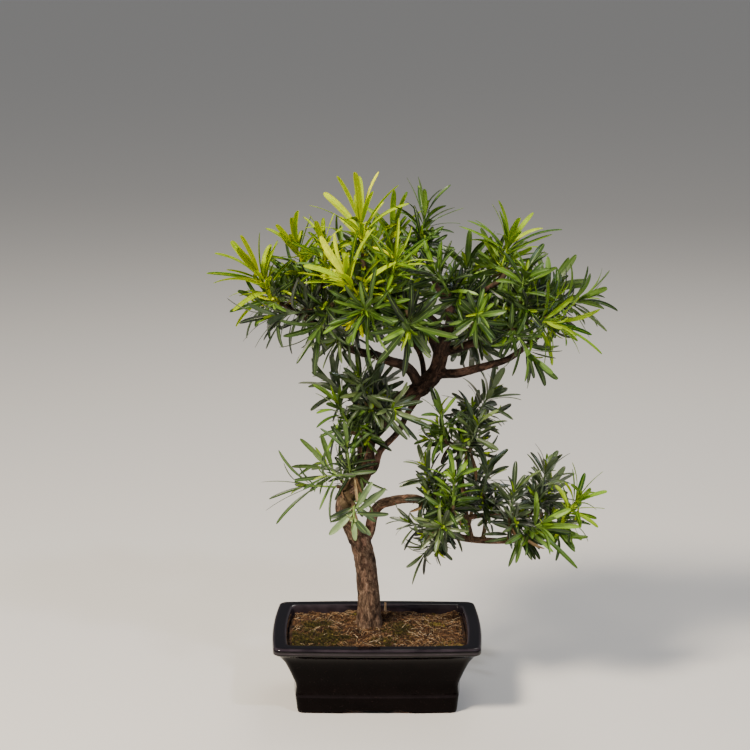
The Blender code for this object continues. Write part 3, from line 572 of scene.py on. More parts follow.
# Moss, in dark cushions in front on the left and right of the trunk, and in tufts on the far right
mossSettings = {
    # middle and reach of each patch
    "patches": [(-76, -30, 34, 44), (-50, -34, 34, 36), (-60, 8, 26, 20), (24, -10, 22, 34), (8, -42, 17, 16),
                (76, -50, 26, 18), (58, 14, 14, 12), (-20, 42, 16, 10)],
    "count": 5200, "margin": 0.0, "clear": 1.5, "least": (0.05, 0.5), "height": (1.0, 2.5), "lean": 0.25,
    "seed": 47,
    "tuftsFrom": 45.0, "tones": (0.32, 0.65, 0.22),         # tone of cushions and of tufts, and its spread
    "ragged": (9.0, 0.35),              # width and strength of the waves in the edges of patches
}


def mossAmount(x, y):
    # How mossy the soil is here
    amount = 0.0
    for centreX, centreY, reachX, reachY in mossSettings["patches"]:
        amount = max(amount, 1.0 - math.hypot((x - centreX) / reachX, (y - centreY) / reachY))
    width, strength = mossSettings["ragged"]
    return amount + strength * noise.noise(Vector((x / width, y / width, 3.0)))


# Straw and fibres on the soil
strawSettings = {
    "count": 4900, "margin": 1.0, "clear": 2.0, "mossMost": (0.15, 0.8), "length": (2.0, 10.5),
    "thickness": (0.08, 0.2), "lift": (0.1, 1.1), "dip": (-0.8, 0.6), "curl": 0.8, "seed": 31,
    # some lies heaped between the bole and the dry stub: middle, spread and height of the heap, and share
    "heap": (3, 26, 15, 9, 6.5), "heaped": 0.09,
    # some of it stands in long loops: middle, reach, share, and how much longer, curlier, higher and paler
    "loops": (56.0, 6.0, 30.0, 40.0, 0.06), "loopForm": (1.7, 4.0, 1.6, 0.15),
}


def strawStrand():
    # One straight straw: a three-sided rod with five lengths, to be bent
    deselect()
    bpy.ops.mesh.primitive_cylinder_add(vertices=3, radius=1, depth=1, location=(0, 0, 0.5))
    strand = bpy.context.object
    strand.name = "strawStrand"
    placeOrigin(strand)
    pickEdges(strand, runsAlong(2, 0.5))
    bpy.ops.mesh.subdivide(number_cuts=4)
    bpy.ops.object.mode_set(mode="OBJECT")
    return strand


def bentStraw(x, y, points, settings, draw):
    heapX, heapY, spreadX, spreadY, heapHeight = settings["heap"]
    if draw.random() < settings["heaped"]:
        x = draw.gauss(heapX, spreadX)
        y = draw.gauss(heapY, spreadY)
    heap = heapHeight * math.exp(-((x - heapX) / spreadX) ** 2 - ((y - heapY) / spreadY) ** 2) * draw.random()
    if not insideSoil(x, y, settings["clear"]) or mossAmount(x, y) > draw.uniform(*settings["mossMost"]):
        return None
    loopX, loopY, reachX, reachY, often = settings["loops"]
    loopy = math.hypot((x - loopX) / reachX, (y - loopY) / reachY) < 1 and draw.random() < often
    longer, curlier, higher, paler = settings["loopForm"] if loopy else (1.0, 1.0, 0.0, 0.0)
    length = draw.uniform(*settings["length"]) * longer
    heading = draw.uniform(0, math.tau)
    curl = draw.gauss(0, settings["curl"]) / length * curlier
    lift = draw.uniform(*settings["lift"]) + higher + heap * 0.3
    radius = draw.uniform(*settings["thickness"])
    path = []
    dip = draw.uniform(*settings["dip"])        # of its first end
    for step in range(6):
        share = step / 5
        rise = lift * math.sin(math.pi * min(1.0, share + 0.05)) + dip * (1 - share)
        path.append((x, y, soilHeight(x, y) + crumbs(x, y) + 0.2 + heap + rise))
        heading += curl * length / 5 + draw.gauss(0, 0.12)
        nextX = x + math.cos(heading) * length / 5
        nextY = y + math.sin(heading) * length / 5
        if insideSoil(nextX, nextY, 0.6):
            x, y = nextX, nextY
        else:
            heading += 1.2
    path = np.array(path)
    along = np.gradient(path, axis=0)
    along /= np.linalg.norm(along, axis=1)[:, None] + 1e-9
    side = np.cross(along, (0, 0, 1))
    side /= np.linalg.norm(side, axis=1)[:, None] + 1e-9
    up = np.cross(side, along)
    taper = radius * (1.0 - 0.5 * np.linspace(0, 1, 6) ** 3)
    rows = np.round(points[:, 2] * 5).astype(int)
    shape = path[rows] + (side[rows] * points[:, :1] + up[rows] * points[:, 1:2]) * taper[rows, None]
    return shape, min(1.0, draw.random() ** 1.9 + paler)


# Dead sphagnum and straw: dry, matt, from brown through tan to nearly white, mottled every 2 mm
dryStraw = plainMaterial("dryStraw", {"Roughness": 0.75, "Specular IOR Level": 0.3},
                         [(0.0, "#24150b"), (0.25, "#52361f"), (0.55, "#845c38"), (0.82, "#b69468"),
                          (1.0, "#e8d6b4")],
                         mottle=({"Scale": 500, "Detail": 2}, [(0.3, "#a89a86"), (0.65, "#ffffff")]))

straw = scatter("strawFibres", strawStrand(), strawSettings, bentStraw)
dress(straw, (dryStraw,), "soil")
print("straw done", len(straw.data.polygons), "faces")


def mossSprig():
    # One sprig: a spike in the middle and six that lean out
    deselect()
    parts = []
    for index in range(7):
        bpy.ops.mesh.primitive_cone_add(vertices=3, radius1=0.16, radius2=0, depth=1, location=(0, 0, 0.5))
        spike = bpy.context.object
        placeOrigin(spike)
        if index:
            spike.rotation_euler = (0, 0.65, index * math.tau / 6)
            spike.scale = (1, 1, 0.85)
            placeOrigin(spike)
        parts.append(spike)
    return joinAll(parts, "mossSprig")


def mossTuft(x, y, points, settings, draw):
    amount = mossAmount(x, y)
    if not insideSoil(x, y, settings["clear"]) or amount < draw.uniform(*settings["least"]):
        return None
    height = draw.uniform(*settings["height"]) * (0.7 + 0.5 * min(1.0, amount))
    turn = draw.uniform(0, math.tau)
    lean = Vector((draw.gauss(0, settings["lean"]), draw.gauss(0, settings["lean"]), 1)).normalized()
    spin = Vector((0, 0, 1)).rotation_difference(lean) @ Quaternion((0, 0, 1), turn)
    shape = (points @ np.array(spin.to_matrix()).T) * height + (x, y, soilHeight(x, y) + crumbs(x, y) - 0.3)
    cushion, tuft, spread = settings["tones"]
    tone = draw.gauss(tuft if x > settings["tuftsFrom"] else cushion, spread)
    return shape, min(1.0, max(0.0, tone))


# Living moss: fine, matt, dark olive in the cushions and yellow green in the young tufts
livingMoss = plainMaterial("livingMoss", {"Roughness": 0.8, "Specular IOR Level": 0.25},
                           [(0.0, "#120f05"), (0.45, "#3b3614"), (1.0, "#907f36")])

moss = scatter("mossCushions", mossSprig(), mossSettings, mossTuft)
dress(moss, (livingMoss,), "soil")
print("moss done", len(moss.data.polygons), "faces")

# Loose lumps of bark and peat
crumbSettings = {
    "count": 3000, "margin": 1.0, "clear": 2.0, "mossMost": (0.2, 0.9), "radius": (0.35, 1.05), "lean": 0.5,
    "stretch": ((0.8, 1.7), (0.6, 1.0), (0.4, 0.8)), "seed": 61,
}


def roughLump():
    deselect()
    bpy.ops.mesh.primitive_ico_sphere_add(subdivisions=1, radius=1)
    lump = bpy.context.object
    bpy.ops.object.mode_set(mode="EDIT")
    bpy.ops.mesh.select_all(action="SELECT")
    bpy.ops.transform.vertex_random(offset=0.3, uniform=1.0, normal=0.0, seed=3)
    bpy.ops.object.mode_set(mode="OBJECT")
    return lump


def looseCrumb(x, y, points, settings, draw):
    # Each is turned and stretched its own way
    if not insideSoil(x, y, settings["clear"]) or mossAmount(x, y) > draw.uniform(*settings["mossMost"]):
        return None
    least, most = settings["radius"]
    size = least + (most - least) * draw.random() ** 2
    stretch = np.array([draw.uniform(*span) for span in settings["stretch"]])
    axis = Vector((draw.gauss(0, settings["lean"]), draw.gauss(0, settings["lean"]), 1)).normalized()
    spin = np.array(Quaternion(axis, draw.uniform(0, math.tau)).to_matrix())
    shape = (points * stretch * size) @ spin.T + (x, y, soilHeight(x, y) + crumbs(x, y) + 0.25 * size)
    return shape, draw.random()


# Composted bark: matt, from black brown to tan
barkCrumb = plainMaterial("compostedBark", {"Roughness": 0.9, "Specular IOR Level": 0.25},
                          [(0.0, "#120b07"), (0.45, "#352216"), (0.8, "#6d4c2e"), (1.0, "#a07c52")])

lumps = scatter("barkCrumbs", roughLump(), crumbSettings, looseCrumb)
dress(lumps, (barkCrumb,), "soil")
print("crumbs done", len(lumps.data.polygons), "faces")

# Wood
# Limbs: the points that each runs through, in millimetres, and its radius at start and end
limbs = {
    "bole": ([(-8, 0, 78), (-8, 0, 98), (-11, 0, 132), (-15, -2, 154), (-20, -3, 168)], 11.6, 9.6),
    "left": ([(-19, -3, 160), (-26, -6, 178), (-32, -8, 190), (-31, -8, 203), (-24, -6, 212), (-17, -4, 222),
              (-11, 0, 236), (-11, 4, 252), (-8, 6, 263), (1, 6, 273), (8, 4, 285), (17, 2, 295),
              (32, 0, 306), (46, 0, 314)], 8.6, 8.0),
    "thin": ([(-15, -2, 226), (-3, 8, 229), (2, 18, 243), (7, 22, 249), (21, 26, 263), (30, 28, 281),
              (40, 32, 296), (46, 42, 312), (43, 55, 334), (31, 62, 352)], 3.2, 2.4),
    "right": ([(-17, -2, 156), (-8, 2, 166), (-4, 4, 184), (3, 1, 195), (13, -4, 200), (25, -6, 203),
               (40, -4, 202), (54, 2, 191), (66, 6, 172), (77, 4, 163), (97, 0, 160), (125, -4, 160),
               (150, -2, 162), (176, 0, 164)], 5.4, 2.0),
    "upper_left": ([(42, 0, 312), (33, -6, 330), (24, -8, 337), (12, -10, 341), (-2, -10, 347),
                    (-16, -12, 350), (-31, -14, 357), (-50, -14, 373), (-72, -12, 386), (-90, -10, 397)],
                   5.2, 2.4),
    "upright": ([(42, 0, 312), (55, 2, 325), (60, 2, 338), (62, 0, 350), (66, 0, 362), (72, 4, 378),
                 (67, 8, 397), (54, 8, 420), (47, 4, 444)], 8.8, 2.4),
    "low_right": ([(57, 2, 326), (76, -6, 328), (86, -10, 331), (110, -16, 339), (124, -18, 344),
                   (138, -20, 354), (154, -16, 366)], 4.8, 2.0),
    "high_right": ([(62, 0, 347), (86, 10, 352), (102, 16, 358), (124, 22, 370), (148, 24, 382),
                    (165, 20, 391)], 4.4, 2.0),
    "crown_left": ([(66, 2, 365), (51, -10, 383), (29, -22, 398), (7, -26, 411), (-9, -24, 427),
                    (-14, -18, 442)], 3.8, 2.0),
    "crown_right": ([(71, 4, 379), (87, -6, 400), (106, -12, 412), (119, -10, 421), (124, -4, 430)],
                    3.4, 2.0),
    "back_left": ([(60, 2, 342), (50, 20, 360), (30, 36, 376), (6, 48, 388), (-20, 54, 394)], 3.6, 2.0),
    "back_right": ([(66, 2, 360), (78, 24, 372), (92, 44, 384), (104, 52, 396)], 3.4, 2.0),
    "riser": ([(93, 0, 160), (87, -4, 186), (84, -8, 213), (79, -10, 238), (80, -10, 258)], 2.6, 2.0),
    "lower_back": ([(66, 6, 172), (84, 18, 176), (112, 28, 178), (146, 32, 178)], 2.8, 1.9),
}

# Shoots by spray: limb that bears it, middle of its rosette, the way it grows, number of leaves, leaf length,
# leaf width, shade, and where the tips of its plainest leaves stand from the middle, across and up
shoots = {
    "crown_left": [
        ("upper_left", (-108, -15, 418), (-0.45, -0.15, 0.9), 12, 50, 7, "fresh",
         [(-50, 14), (-34, 33), (-16, 43), (-5, 47), (9, 43)]),
        ("upper_left", (-86, -40, 392), (-0.95, -0.25, -0.1), 12, 46, 6, "dark",
         [(-48, 6), (-38, -14), (-20, -26)]),
        ("upper_left", (-74, 12, 438), (-0.3, 0.1, 0.95), 11, 42, 7, "fresh", [(-6, 42), (-20, 30)]),
        ("upper_left", (-50, -26, 448), (-0.1, -0.2, 0.95), 11, 38, 6, "fresh",
         [(-9, 32), (8, 34), (11, 26)]),
        ("upper_left", (-74, 52, 404), (-0.6, 0.7, 0.4), 11, 46, 7, "green", []),
        ("upper_left", (-52, -54, 384), (-0.4, -0.5, -0.65), 11, 42, 6, "green",
         [(-7, -42), (-19, -34), (-34, -12)]),
    ],
    "crown_top": [
        ("crown_left", (-25, -62, 424), (-0.5, -0.35, 0.75), 11, 50, 9, "fresh",
         [(12, 54), (-41, 7), (-37, 22), (-18, 43)]),
        ("crown_left", (-15, -12, 466), (-0.05, -0.1, 1.0), 12, 52, 8, "fresh",
         [(-18, 50), (-4, 54), (4, 53), (29, 49), (-41, 38), (-48, 23)]),
        ("upright", (14, 22, 450), (0.05, 0.1, 1.0), 11, 48, 6, "bright", [(1, 50), (8, 48)]),
        ("upright", (44, 0, 472), (0.2, 0.0, 1.0), 11, 42, 6, "green",
         [(-13, 42), (-3, 42), (34, 10), (26, 22)]),
        ("crown_left", (16, -54, 440), (0.15, -0.5, 0.8), 11, 44, 4, "bright", []),
        ("back_left", (-12, 66, 426), (-0.1, 0.7, 0.7), 11, 46, 7, "green", []),
    ],
    "crown_middle": [
        ("crown_right", (58, -56, 430), (-0.45, -0.4, 0.8), 11, 38, 6, "green",
         [(-36, 2), (-34, 11), (-1, 32), (17, 33)]),
        ("crown_left", (29, -86, 388), (0.0, -0.95, -0.2), 10, 42, 7, "green",
         [(-24, 32), (29, 18), (44, -11), (16, -25), (-3, -47), (-27, -36)]),
        ("crown_left", (-8, -74, 402), (-0.3, -0.85, 0.1), 11, 46, 5, "green", [(-7, -50), (-34, -8)]),
        ("high_right", (92, -72, 396), (0.05, -0.75, 0.35), 11, 32, 6, "green",
         [(-13, 15), (15, -14), (-1, -26), (-26, -19), (12, 23)]),
        ("upper_left", (-32, -40, 372), (-0.5, -0.5, -0.2), 11, 38, 6, "dark", [(-30, -10), (-10, -34)]),
    ],
    "crown_right": [
        ("crown_right", (124, 0, 448), (0.25, -0.1, 0.95), 12, 48, 7, "bright",
         [(-41, 29), (-29, 35), (-10, 43), (9, 34), (43, 32), (41, 22), (36, -4)]),
        ("high_right", (137, -44, 424), (0.1, -0.3, 0.95), 11, 38, 7, "green", [(3, 6), (14, 26)]),
        ("low_right", (160, -48, 386), (0.9, -0.4, 0.0), 12, 50, 6, "bright",
         [(48, -21), (32, -14), (5, -34), (-2, 42), (9, 34)]),
        ("high_right", (190, 10, 396), (0.9, 0.0, 0.3), 11, 46, 6, "green",
         [(19, 14), (27, -1), (28, -14), (22, -30)]),
        ("low_right", (140, -58, 362), (0.5, -0.4, -0.65), 11, 38, 6, "green", [(16, -27), (-1, -24)]),
        ("back_right", (116, 52, 416), (0.2, 0.65, 0.7), 11, 46, 7, "green", []),
        ("high_right", (166, 60, 396), (0.55, 0.75, 0.3), 11, 46, 7, "green", []),
        ("crown_right", (88, 26, 420), (-0.1, 0.3, 0.95), 11, 42, 7, "green", []),
    ],
    "crown_back": [
        ("back_left", (28, 92, 386), (0.0, 0.95, 0.2), 11, 46, 7, "green", []),
        ("back_left", (-30, 84, 372), (-0.5, 0.8, 0.0), 11, 46, 7, "dark", []),
        ("back_right", (98, 86, 344), (0.25, 0.95, -0.1), 11, 44, 7, "dark", []),
    ],
    "middle_left": [
        ("left", (-34, -20, 294), (-0.4, -0.2, 0.9), 9, 36, 6, "green",
         [(-1, 42), (-23, -2), (-22, 19), (-22, -24)]),
        ("left", (-15, -38, 325), (-0.2, -0.4, 0.85), 9, 34, 6, "dark", []),
        ("left", (10, -38, 300), (0.4, -0.7, 0.2), 9, 38, 6, "dark",
         [(1, 36), (31, 10), (42, -15), (33, -26)]),
        ("left", (-38, 26, 306), (-0.7, 0.5, 0.5), 9, 40, 7, "dark", []),
        ("left", (-2, 44, 302), (0.1, 0.9, 0.4), 9, 40, 7, "dark", []),
    ],
    "middle_right": [
        ("riser", (62, -32, 288), (-0.15, -0.3, 0.9), 9, 32, 6, "green",
         [(-16, 21), (-4, 28), (20, 0), (-30, -26), (-15, -25)]),
        ("riser", (94, -34, 278), (0.2, -0.4, 0.85), 8, 32, 6, "dark", [(-13, 21), (15, -24), (22, -9)]),
        ("riser", (106, -2, 302), (0.5, 0.0, 0.85), 9, 38, 8, "dark",
         [(-3, 28), (31, 8), (28, -9), (-37, 17)]),
    ],
    "lower_left": [
        ("left", (-28, -30, 254), (-0.1, -0.3, 0.95), 9, 32, 6, "green",
         [(-22, 25), (2, 27), (21, 28), (19, 11), (-24, 0)]),
        ("left", (-42, -42, 236), (-0.7, -0.6, 0.1), 8, 38, 5, "green", [(-21, -5), (30, 6)]),
        ("left", (-60, -12, 218), (-0.95, -0.2, 0.1), 9, 46, 5, "green",
         [(-16, 23), (-44, 10), (-47, -18), (-42, -30)]),
        ("left", (-22, -50, 199), (0.0, -0.95, -0.15), 7, 30, 7, "green",
         [(30, 24), (32, -1), (0, -26), (-24, -20), (16, 27)]),
        ("left", (-46, 30, 224), (-0.5, 0.75, 0.35), 9, 40, 6, "green", []),
    ],
    "lower_right": [
        ("right", (50, -22, 232), (-0.3, -0.2, 0.95), 9, 32, 6, "dark", [(-30, -2), (-10, 14), (2, 22)]),
        ("right", (73, -44, 226), (0.0, -0.25, 0.95), 9, 32, 6, "green", [(-2, 33), (10, 30)]),
        ("right", (106, -14, 230), (0.1, -0.2, 0.95), 9, 30, 6, "dark", [(-17, 8), (13, 20), (26, 2)]),
        ("right", (130, -40, 212), (0.1, -0.3, 0.95), 9, 32, 6, "dark", [(19, 30), (-10, 20)]),
        ("right", (164, 12, 220), (0.2, 0.15, 0.95), 9, 34, 6, "dark", [(-6, 26), (21, 27)]),
        ("right", (190, -18, 200), (0.5, -0.3, 0.8), 9, 36, 7, "bright",
         [(3, 40), (20, 33), (28, 17), (29, -11), (-10, 29)]),
        ("right", (152, -42, 186), (0.5, -0.6, 0.4), 8, 38, 6, "green", [(43, -36), (40, 3), (-20, -8)]),
        ("right", (62, -44, 186), (0.1, -0.8, 0.3), 9, 30, 6, "dark", [(-14, 6), (20, -10), (6, -24)]),
        ("right", (38, -14, 180), (-0.7, -0.4, 0.3), 8, 30, 5, "dark", [(-22, 6), (-16, -14)]),
        ("lower_back", (98, 52, 200), (0.1, 0.8, 0.6), 9, 38, 7, "dark", []),
        ("lower_back", (168, 50, 192), (0.5, 0.7, 0.5), 9, 38, 7, "dark", []),
        ("right", (52, 8, 150), (-0.5, -0.2, -0.5), 7, 30, 5, "dark", [(-16, -30), (-24, 4)]),
    ],
}

woodSettings = {
    "footRadius": 12.0, "footHeight": 40.0, "voxel": 1.15, "twigRadius": 1.9, "twigEnd": 4.0,
    "stemLength": 30.0, "stemRadius": 1.4, "sideStemRadius": 1.1, "seed": 7,
    "fissure": 0.6,                     # depth in the bole's bark, less on thinner wood
    "growth": 0.35,                     # what smoothing takes off the wood's radius
    "streak": (1.6, 9.0), "plate": (4.0, 6.0), "hump": 16.0,        # width and length of the bark's forms
    "roots": (92.0, 70.0),              # they spread a little from the first to the second height
}


def loft(rings):
    # Coarse tube through rings, closed at both ends, for clearance tests
    points = [point for ring in rings for point in ring]
    count = len(rings[0])
    faces = []
    for row in range(len(rings) - 1):
        for column in range(count):
            following = (column + 1) % count
            faces.append((row * count + column, row * count + following,
                          (row + 1) * count + following, (row + 1) * count + column))
    faces.append(tuple(reversed(range(count))))
    faces.append(tuple(range((len(rings) - 1) * count, len(rings) * count)))
    return points, faces


def coarseTube(path, radii, sides, unevenness=0.0, draw=None):
    rings = []
    for (point, tangent, across, other), radius in zip(pathFrames(path), radii):
        ring = []
        for side in range(sides):
            angle = math.tau * side / sides
            uneven = 1.0 + unevenness * draw.uniform(-1.0, 1.0) if draw else 1.0
            ring.append(point + (across * math.cos(angle) + other * math.sin(angle)) * (radius * uneven))
        rings.append(ring)
    return loft(rings)


def limbLength(name):
    points = [Vector(point) for point in limbs[name][0]]
    return sum((after - before).length for before, after in zip(points, points[1:]))


def limbLine(name, steps):
    # A limb's smooth path and its radius at each point
    points, start, end = limbs[name]
    return smoothPath(points, steps), [start + (end - start) * step / steps for step in range(steps + 1)]


def coarseLimb(name, draw):
    thick = limbs[name][1] > 4.0
    path, radii = limbLine(name, max(4, round(limbLength(name) / (16.0 if thick else 24.0))))
    return coarseTube(path, radii, 7 if thick else 5, 0.07, draw)


def coarseBole(draw):
    path, radii = limbLine("bole", 8)
    foot, radius = woodSettings["footHeight"], woodSettings["footRadius"]
    rows = [(Vector((*trunkFoot, foot)), radius - 1.0, 0.0), (Vector((*trunkFoot, foot + 2.0)), radius, 0.0),
            (path[0], radius, 0.0)]
    rows += [(path[step], radii[step], 0.06) for step in range(1, 9)]
    rings = []
    for centre, size, uneven in rows:
        ring = []
        for side in range(12):
            angle = math.tau * side / 12
            reach = size * (1.0 + uneven * draw.uniform(-1.0, 1.0))
            ring.append((centre.x + reach * math.cos(angle), centre.y + reach * math.sin(angle), centre.z))
        rings.append(ring)
    return loft(rings)


def planShoot(limb, middle, grows):
    # Axis, foot and tip of the green stem, and the twig's path from the limb to the foot
    axis = Vector(grows).normalized()
    middle = Vector(middle)
    length = woodSettings["stemLength"]
    points, startRadius, endRadius = limbs[limb]
    samples = smoothPath(points, 40)
    foot = middle - axis * length * 0.7
    best = min(range(4, 41), key=lambda index: (samples[index] - foot).length
               + 0.5 * max(0.0, samples[index].z - foot.z))
    join = samples[best]
    knee = foot - axis * woodSettings["twigEnd"]
    reach = (knee - join).length
    lean = (knee - join).normalized()
    run = (samples[min(best + 1, 40)] - samples[best - 1]).normalized()
    first = join + (lean * 0.7 + run * 0.5) * reach * 0.35
    second = knee - axis * reach * 0.3
    path = []
    steps = max(2, round(reach / 30.0))
    for step in range(steps + 1):
        t = step / steps
        rest = 1 - t
        path.append(join * rest ** 3 + first * 3 * t * rest ** 2 + second * 3 * t ** 2 * rest + knee * t ** 3)
    path.append(foot)
    radius = startRadius + (endRadius - startRadius) * (best / 40)
    return axis, foot, middle + axis * length * 0.3, path, min(woodSettings["twigRadius"], radius * 0.9)


def asStored(points):
    # The solid's points as the model keeps them
    return [(Vector(point) * mm) / mm for point in points]


plans = []
draw = random.Random(woodSettings["seed"])
coarseWood = [coarseBole(draw)] + [coarseLimb(name, draw) for name in limbs if name != "bole"]
woodLines = []                          # path and radii of each twig, then of each limb
for spray, rows in shoots.items():
    for number, shoot in enumerate(rows, 1):
        plan = planShoot(*shoot[:3])
        path, start = plan[3:]
        last = len(path) - 1
        end = woodSettings["twigRadius"] * 0.75
        radii = [start + (end - start) * step / last for step in range(last + 1)]
        coarseWood.append(coarseTube(path, radii, 4))
        woodLines.append((smoothPath(path, 14), np.interp(np.linspace(0, last, 15), range(last + 1), radii)))
        plans.append((f"{spray}_shoot_{number}", plan, shoot))


def makeWood(settings):
    # One curve with a bevelled line for each limb and twig, made a mesh and grown together
    foot, footRadius = settings["footHeight"], settings["footRadius"]
    for name in limbs:
        path, radii = limbLine(name, max(8, round(limbLength(name) / 4.0)))
        if name == "bole":              # as thick as its foot in the soil, and thinner little by little
            rise = path[0].z - foot
            path = [Vector((*trunkFoot, foot + rise * step / 9)) for step in range(9)] + path
            radii = [max(radius, footRadius - 0.2 * step) for step, radius in enumerate(radii)]
            radii = [footRadius] * 9 + radii
        woodLines.append((path, radii))
    deselect()
    bpy.ops.curve.primitive_nurbs_path_add()
    wood = bpy.context.object
    wood.name = "barkWood"
    wood.data.splines.clear()
    for path, radii in woodLines:
        line = wood.data.splines.new("POLY")
        line.points.add(len(path) - 1)
        for point, place, radius in zip(line.points, path, radii):
            point.co = (*(place * mm), 1)
            point.radius = radius + settings["growth"]
    wood.data.bevel_depth = mm
    wood.data.bevel_resolution = 4
    wood.data.use_fill_caps = True
    wood.data.twist_smooth = 0
    makeActive(wood)
    bpy.ops.object.convert(target="MESH")
    wood = bpy.context.object
    wood.data.remesh_voxel_size = settings["voxel"] * mm
    wood.data.use_remesh_fix_poles = False
    bpy.ops.object.voxel_remesh()
    bpy.ops.object.mode_set(mode="EDIT")
    bpy.ops.mesh.select_all(action="SELECT")
    bpy.ops.mesh.vertices_smooth(factor=0.5, repeat=2)
    bpy.ops.object.mode_set(mode="OBJECT")
    return wood


def barkRelief(spot, wrap, angle, radius, settings):
    # How far the bark stands out here: fissures, plates and humps, and the roots at the soil
    depth = settings["fissure"] * min(1.0, max(0.0, (radius - 1.6) / 8.0))
    width, length = settings["streak"]
    streak = noise.noise(Vector((wrap.x / width, wrap.y / width, wrap.z / length)))
    width, length = settings["plate"]
    plate = noise.noise(Vector((wrap.x / width, wrap.y / width, wrap.z / length + 20.0)))
    hump = noise.noise(spot / settings["hump"])
    relief = depth * (0.8 * plate + 1.2 * hump - 3.2 * max(0.0, 0.25 - abs(streak)))
    top, bottom = settings["roots"]
    if spot.z < top and radius > 10.0:
        swell = max(0.0, (top - max(spot.z, bottom)) / (top - bottom)) ** 2
        relief += swell * (1.8 + 1.4 * math.sin(angle * 4.0 + 0.7) + 0.7 * math.sin(angle * 7.0))
    return relief


def runBark(wood, settings):
    # Carves the bark, and keeps each point's place round and along its limb, and the limb's radius
    lines = []
    for path, radii in woodLines:
        run = 0.0
        for (point, tangent, across, other), radius, before in zip(pathFrames(path), radii, path[:1] + path):
            run += (point - before).length
            lines.append((point, radius, run, across, other, tangent))
    tree = KDTree(len(lines))
    for index, line in enumerate(lines):
        tree.insert(line[0], index)
    tree.balance()
    mesh = wood.data
    count = len(mesh.vertices)
    places = np.empty(count * 3, dtype=np.float32)
    mesh.vertices.foreach_get("co", places)
    normals = np.empty(count * 3, dtype=np.float32)
    mesh.vertex_normals.foreach_get("vector", normals)
    places = places.reshape(-1, 3).astype(float) / mm
    normals = normals.reshape(-1, 3)
    runs = np.zeros((count, 3), dtype=np.float32)
    girth = np.zeros(count, dtype=np.float32)
    for index in range(count):
        spot = Vector(places[index])
        found = min(tree.find_n(spot, 3), key=lambda hit: hit[2] - lines[hit[1]][1])
        centre, radius, run, across, other, tangent = lines[found[1]]
        offset = spot - centre
        angle = math.atan2(offset.dot(other), offset.dot(across))
        wrap = Vector((math.cos(angle) * radius, math.sin(angle) * radius, run + offset.dot(tangent)))
        runs[index] = wrap
        girth[index] = radius
        places[index] += normals[index] * barkRelief(spot, wrap, angle, radius, settings)
    mesh.vertices.foreach_set("co", (places * mm).astype(np.float32).ravel())
    mesh.attributes.new("barkRun", "FLOAT_VECTOR", "POINT").data.foreach_set("vector", runs.ravel())
    mesh.attributes.new("girth", "FLOAT", "POINT").data.foreach_set("value", girth)
    mesh.update()
    makeActive(wood)
    bpy.ops.object.shade_smooth()


# Old podocarpus bark: grey tan and finely fissured on the bole, peeling to pinkish tan plates on the left
# limb and red brown on the upper limbs, painted darker there as the crown's shade; twigs are olive brown
bark, shader = newMaterial("podocarpusBark", {"Roughness": 0.85, "Specular IOR Level": 0.25})
run = addNode(bark, "Attribute", {"attribute_name": "barkRun"}).outputs["Vector"]       # in mm
girth = addNode(bark, "Attribute", {"attribute_name": "girth"}).outputs["Fac"]
height = addNode(bark, "SeparateXYZ", {"Vector": addNode(bark, "TexCoord").outputs["Object"]}).outputs["Z"]
wander = addNode(bark, "TexNoise", {"Scale": 0.11, "Detail": 3, "Vector": run}).outputs["Color"]        # 9 mm
bent = addNode(bark, "VectorMath", {"operation": "MULTIPLY_ADD", 0: wander, 1: (5.0, 5.0, 12.0), 2: run})
stretch = addNode(bark, "Mapping", {"Scale": (0.6, 0.6, 0.2), "Vector": bent})          # 1.7 by 5 mm
streaks = addNode(bark, "TexNoise", {"Scale": 1.0, "Detail": 5, "Roughness": 0.7, "Vector": stretch})
flakeRun = addNode(bark, "Mapping", {"Scale": (0.24, 0.24, 0.07), "Vector": bent})      # 4 by 14 mm
flakes = addNode(bark, "TexVoronoi", {"feature": "F1", "Scale": 1.0, "Randomness": 1.0, "Vector": flakeRun})
seams = addNode(bark, "TexVoronoi", {"feature": "DISTANCE_TO_EDGE", "Scale": 1.0, "Randomness": 1.0,
                                     "Vector": flakeRun}).outputs["Distance"]
oldTint = addNode(bark, "ValToRGB", {"stops": [(0.3, "#33261d"), (0.5, "#5e4939"), (0.7, "#a0866f")],
                                     "Fac": streaks})
# upper limbs: red brown, and painted dark as shade from the crown above them
redShadedTint = addNode(bark, "ValToRGB", {"stops": [(0.32, "#140c08"), (0.5, "#2f2019"), (0.72, "#563f34")],
                                     "Fac": streaks})
upperShadeMask = addNode(bark, "MapRange", {"range": (0.20, 0.31, 0.0, 0.95), "Value": height})
tint = addNode(bark, "MixRGB", {"Fac": upperShadeMask, "Color1": oldTint, "Color2": redShadedTint})
# flakes have come off here and there, most of all half way up, and left pinkish tan bark
plateTone = addNode(bark, "SeparateColor", {"Color": flakes.outputs["Color"]})
plateMask = addNode(bark, "MapRange", {"range": (0.6, 0.75, 0.0, 1.0), "Value": plateTone})
rise = addNode(bark, "MapRange", {"range": (0.14, 0.19, 0.12, 0.6), "Value": height})
fall = addNode(bark, "MapRange", {"range": (0.25, 0.31, 1.0, 0.25), "Value": height})
band = addNode(bark, "Math", {"operation": "MULTIPLY", 0: rise, 1: fall})
bare = addNode(bark, "Math", {"operation": "MULTIPLY", 0: band, 1: plateMask})
tint = addNode(bark, "MixRGB", {"Color2": linear("#a47862"), "Fac": bare, "Color1": tint})
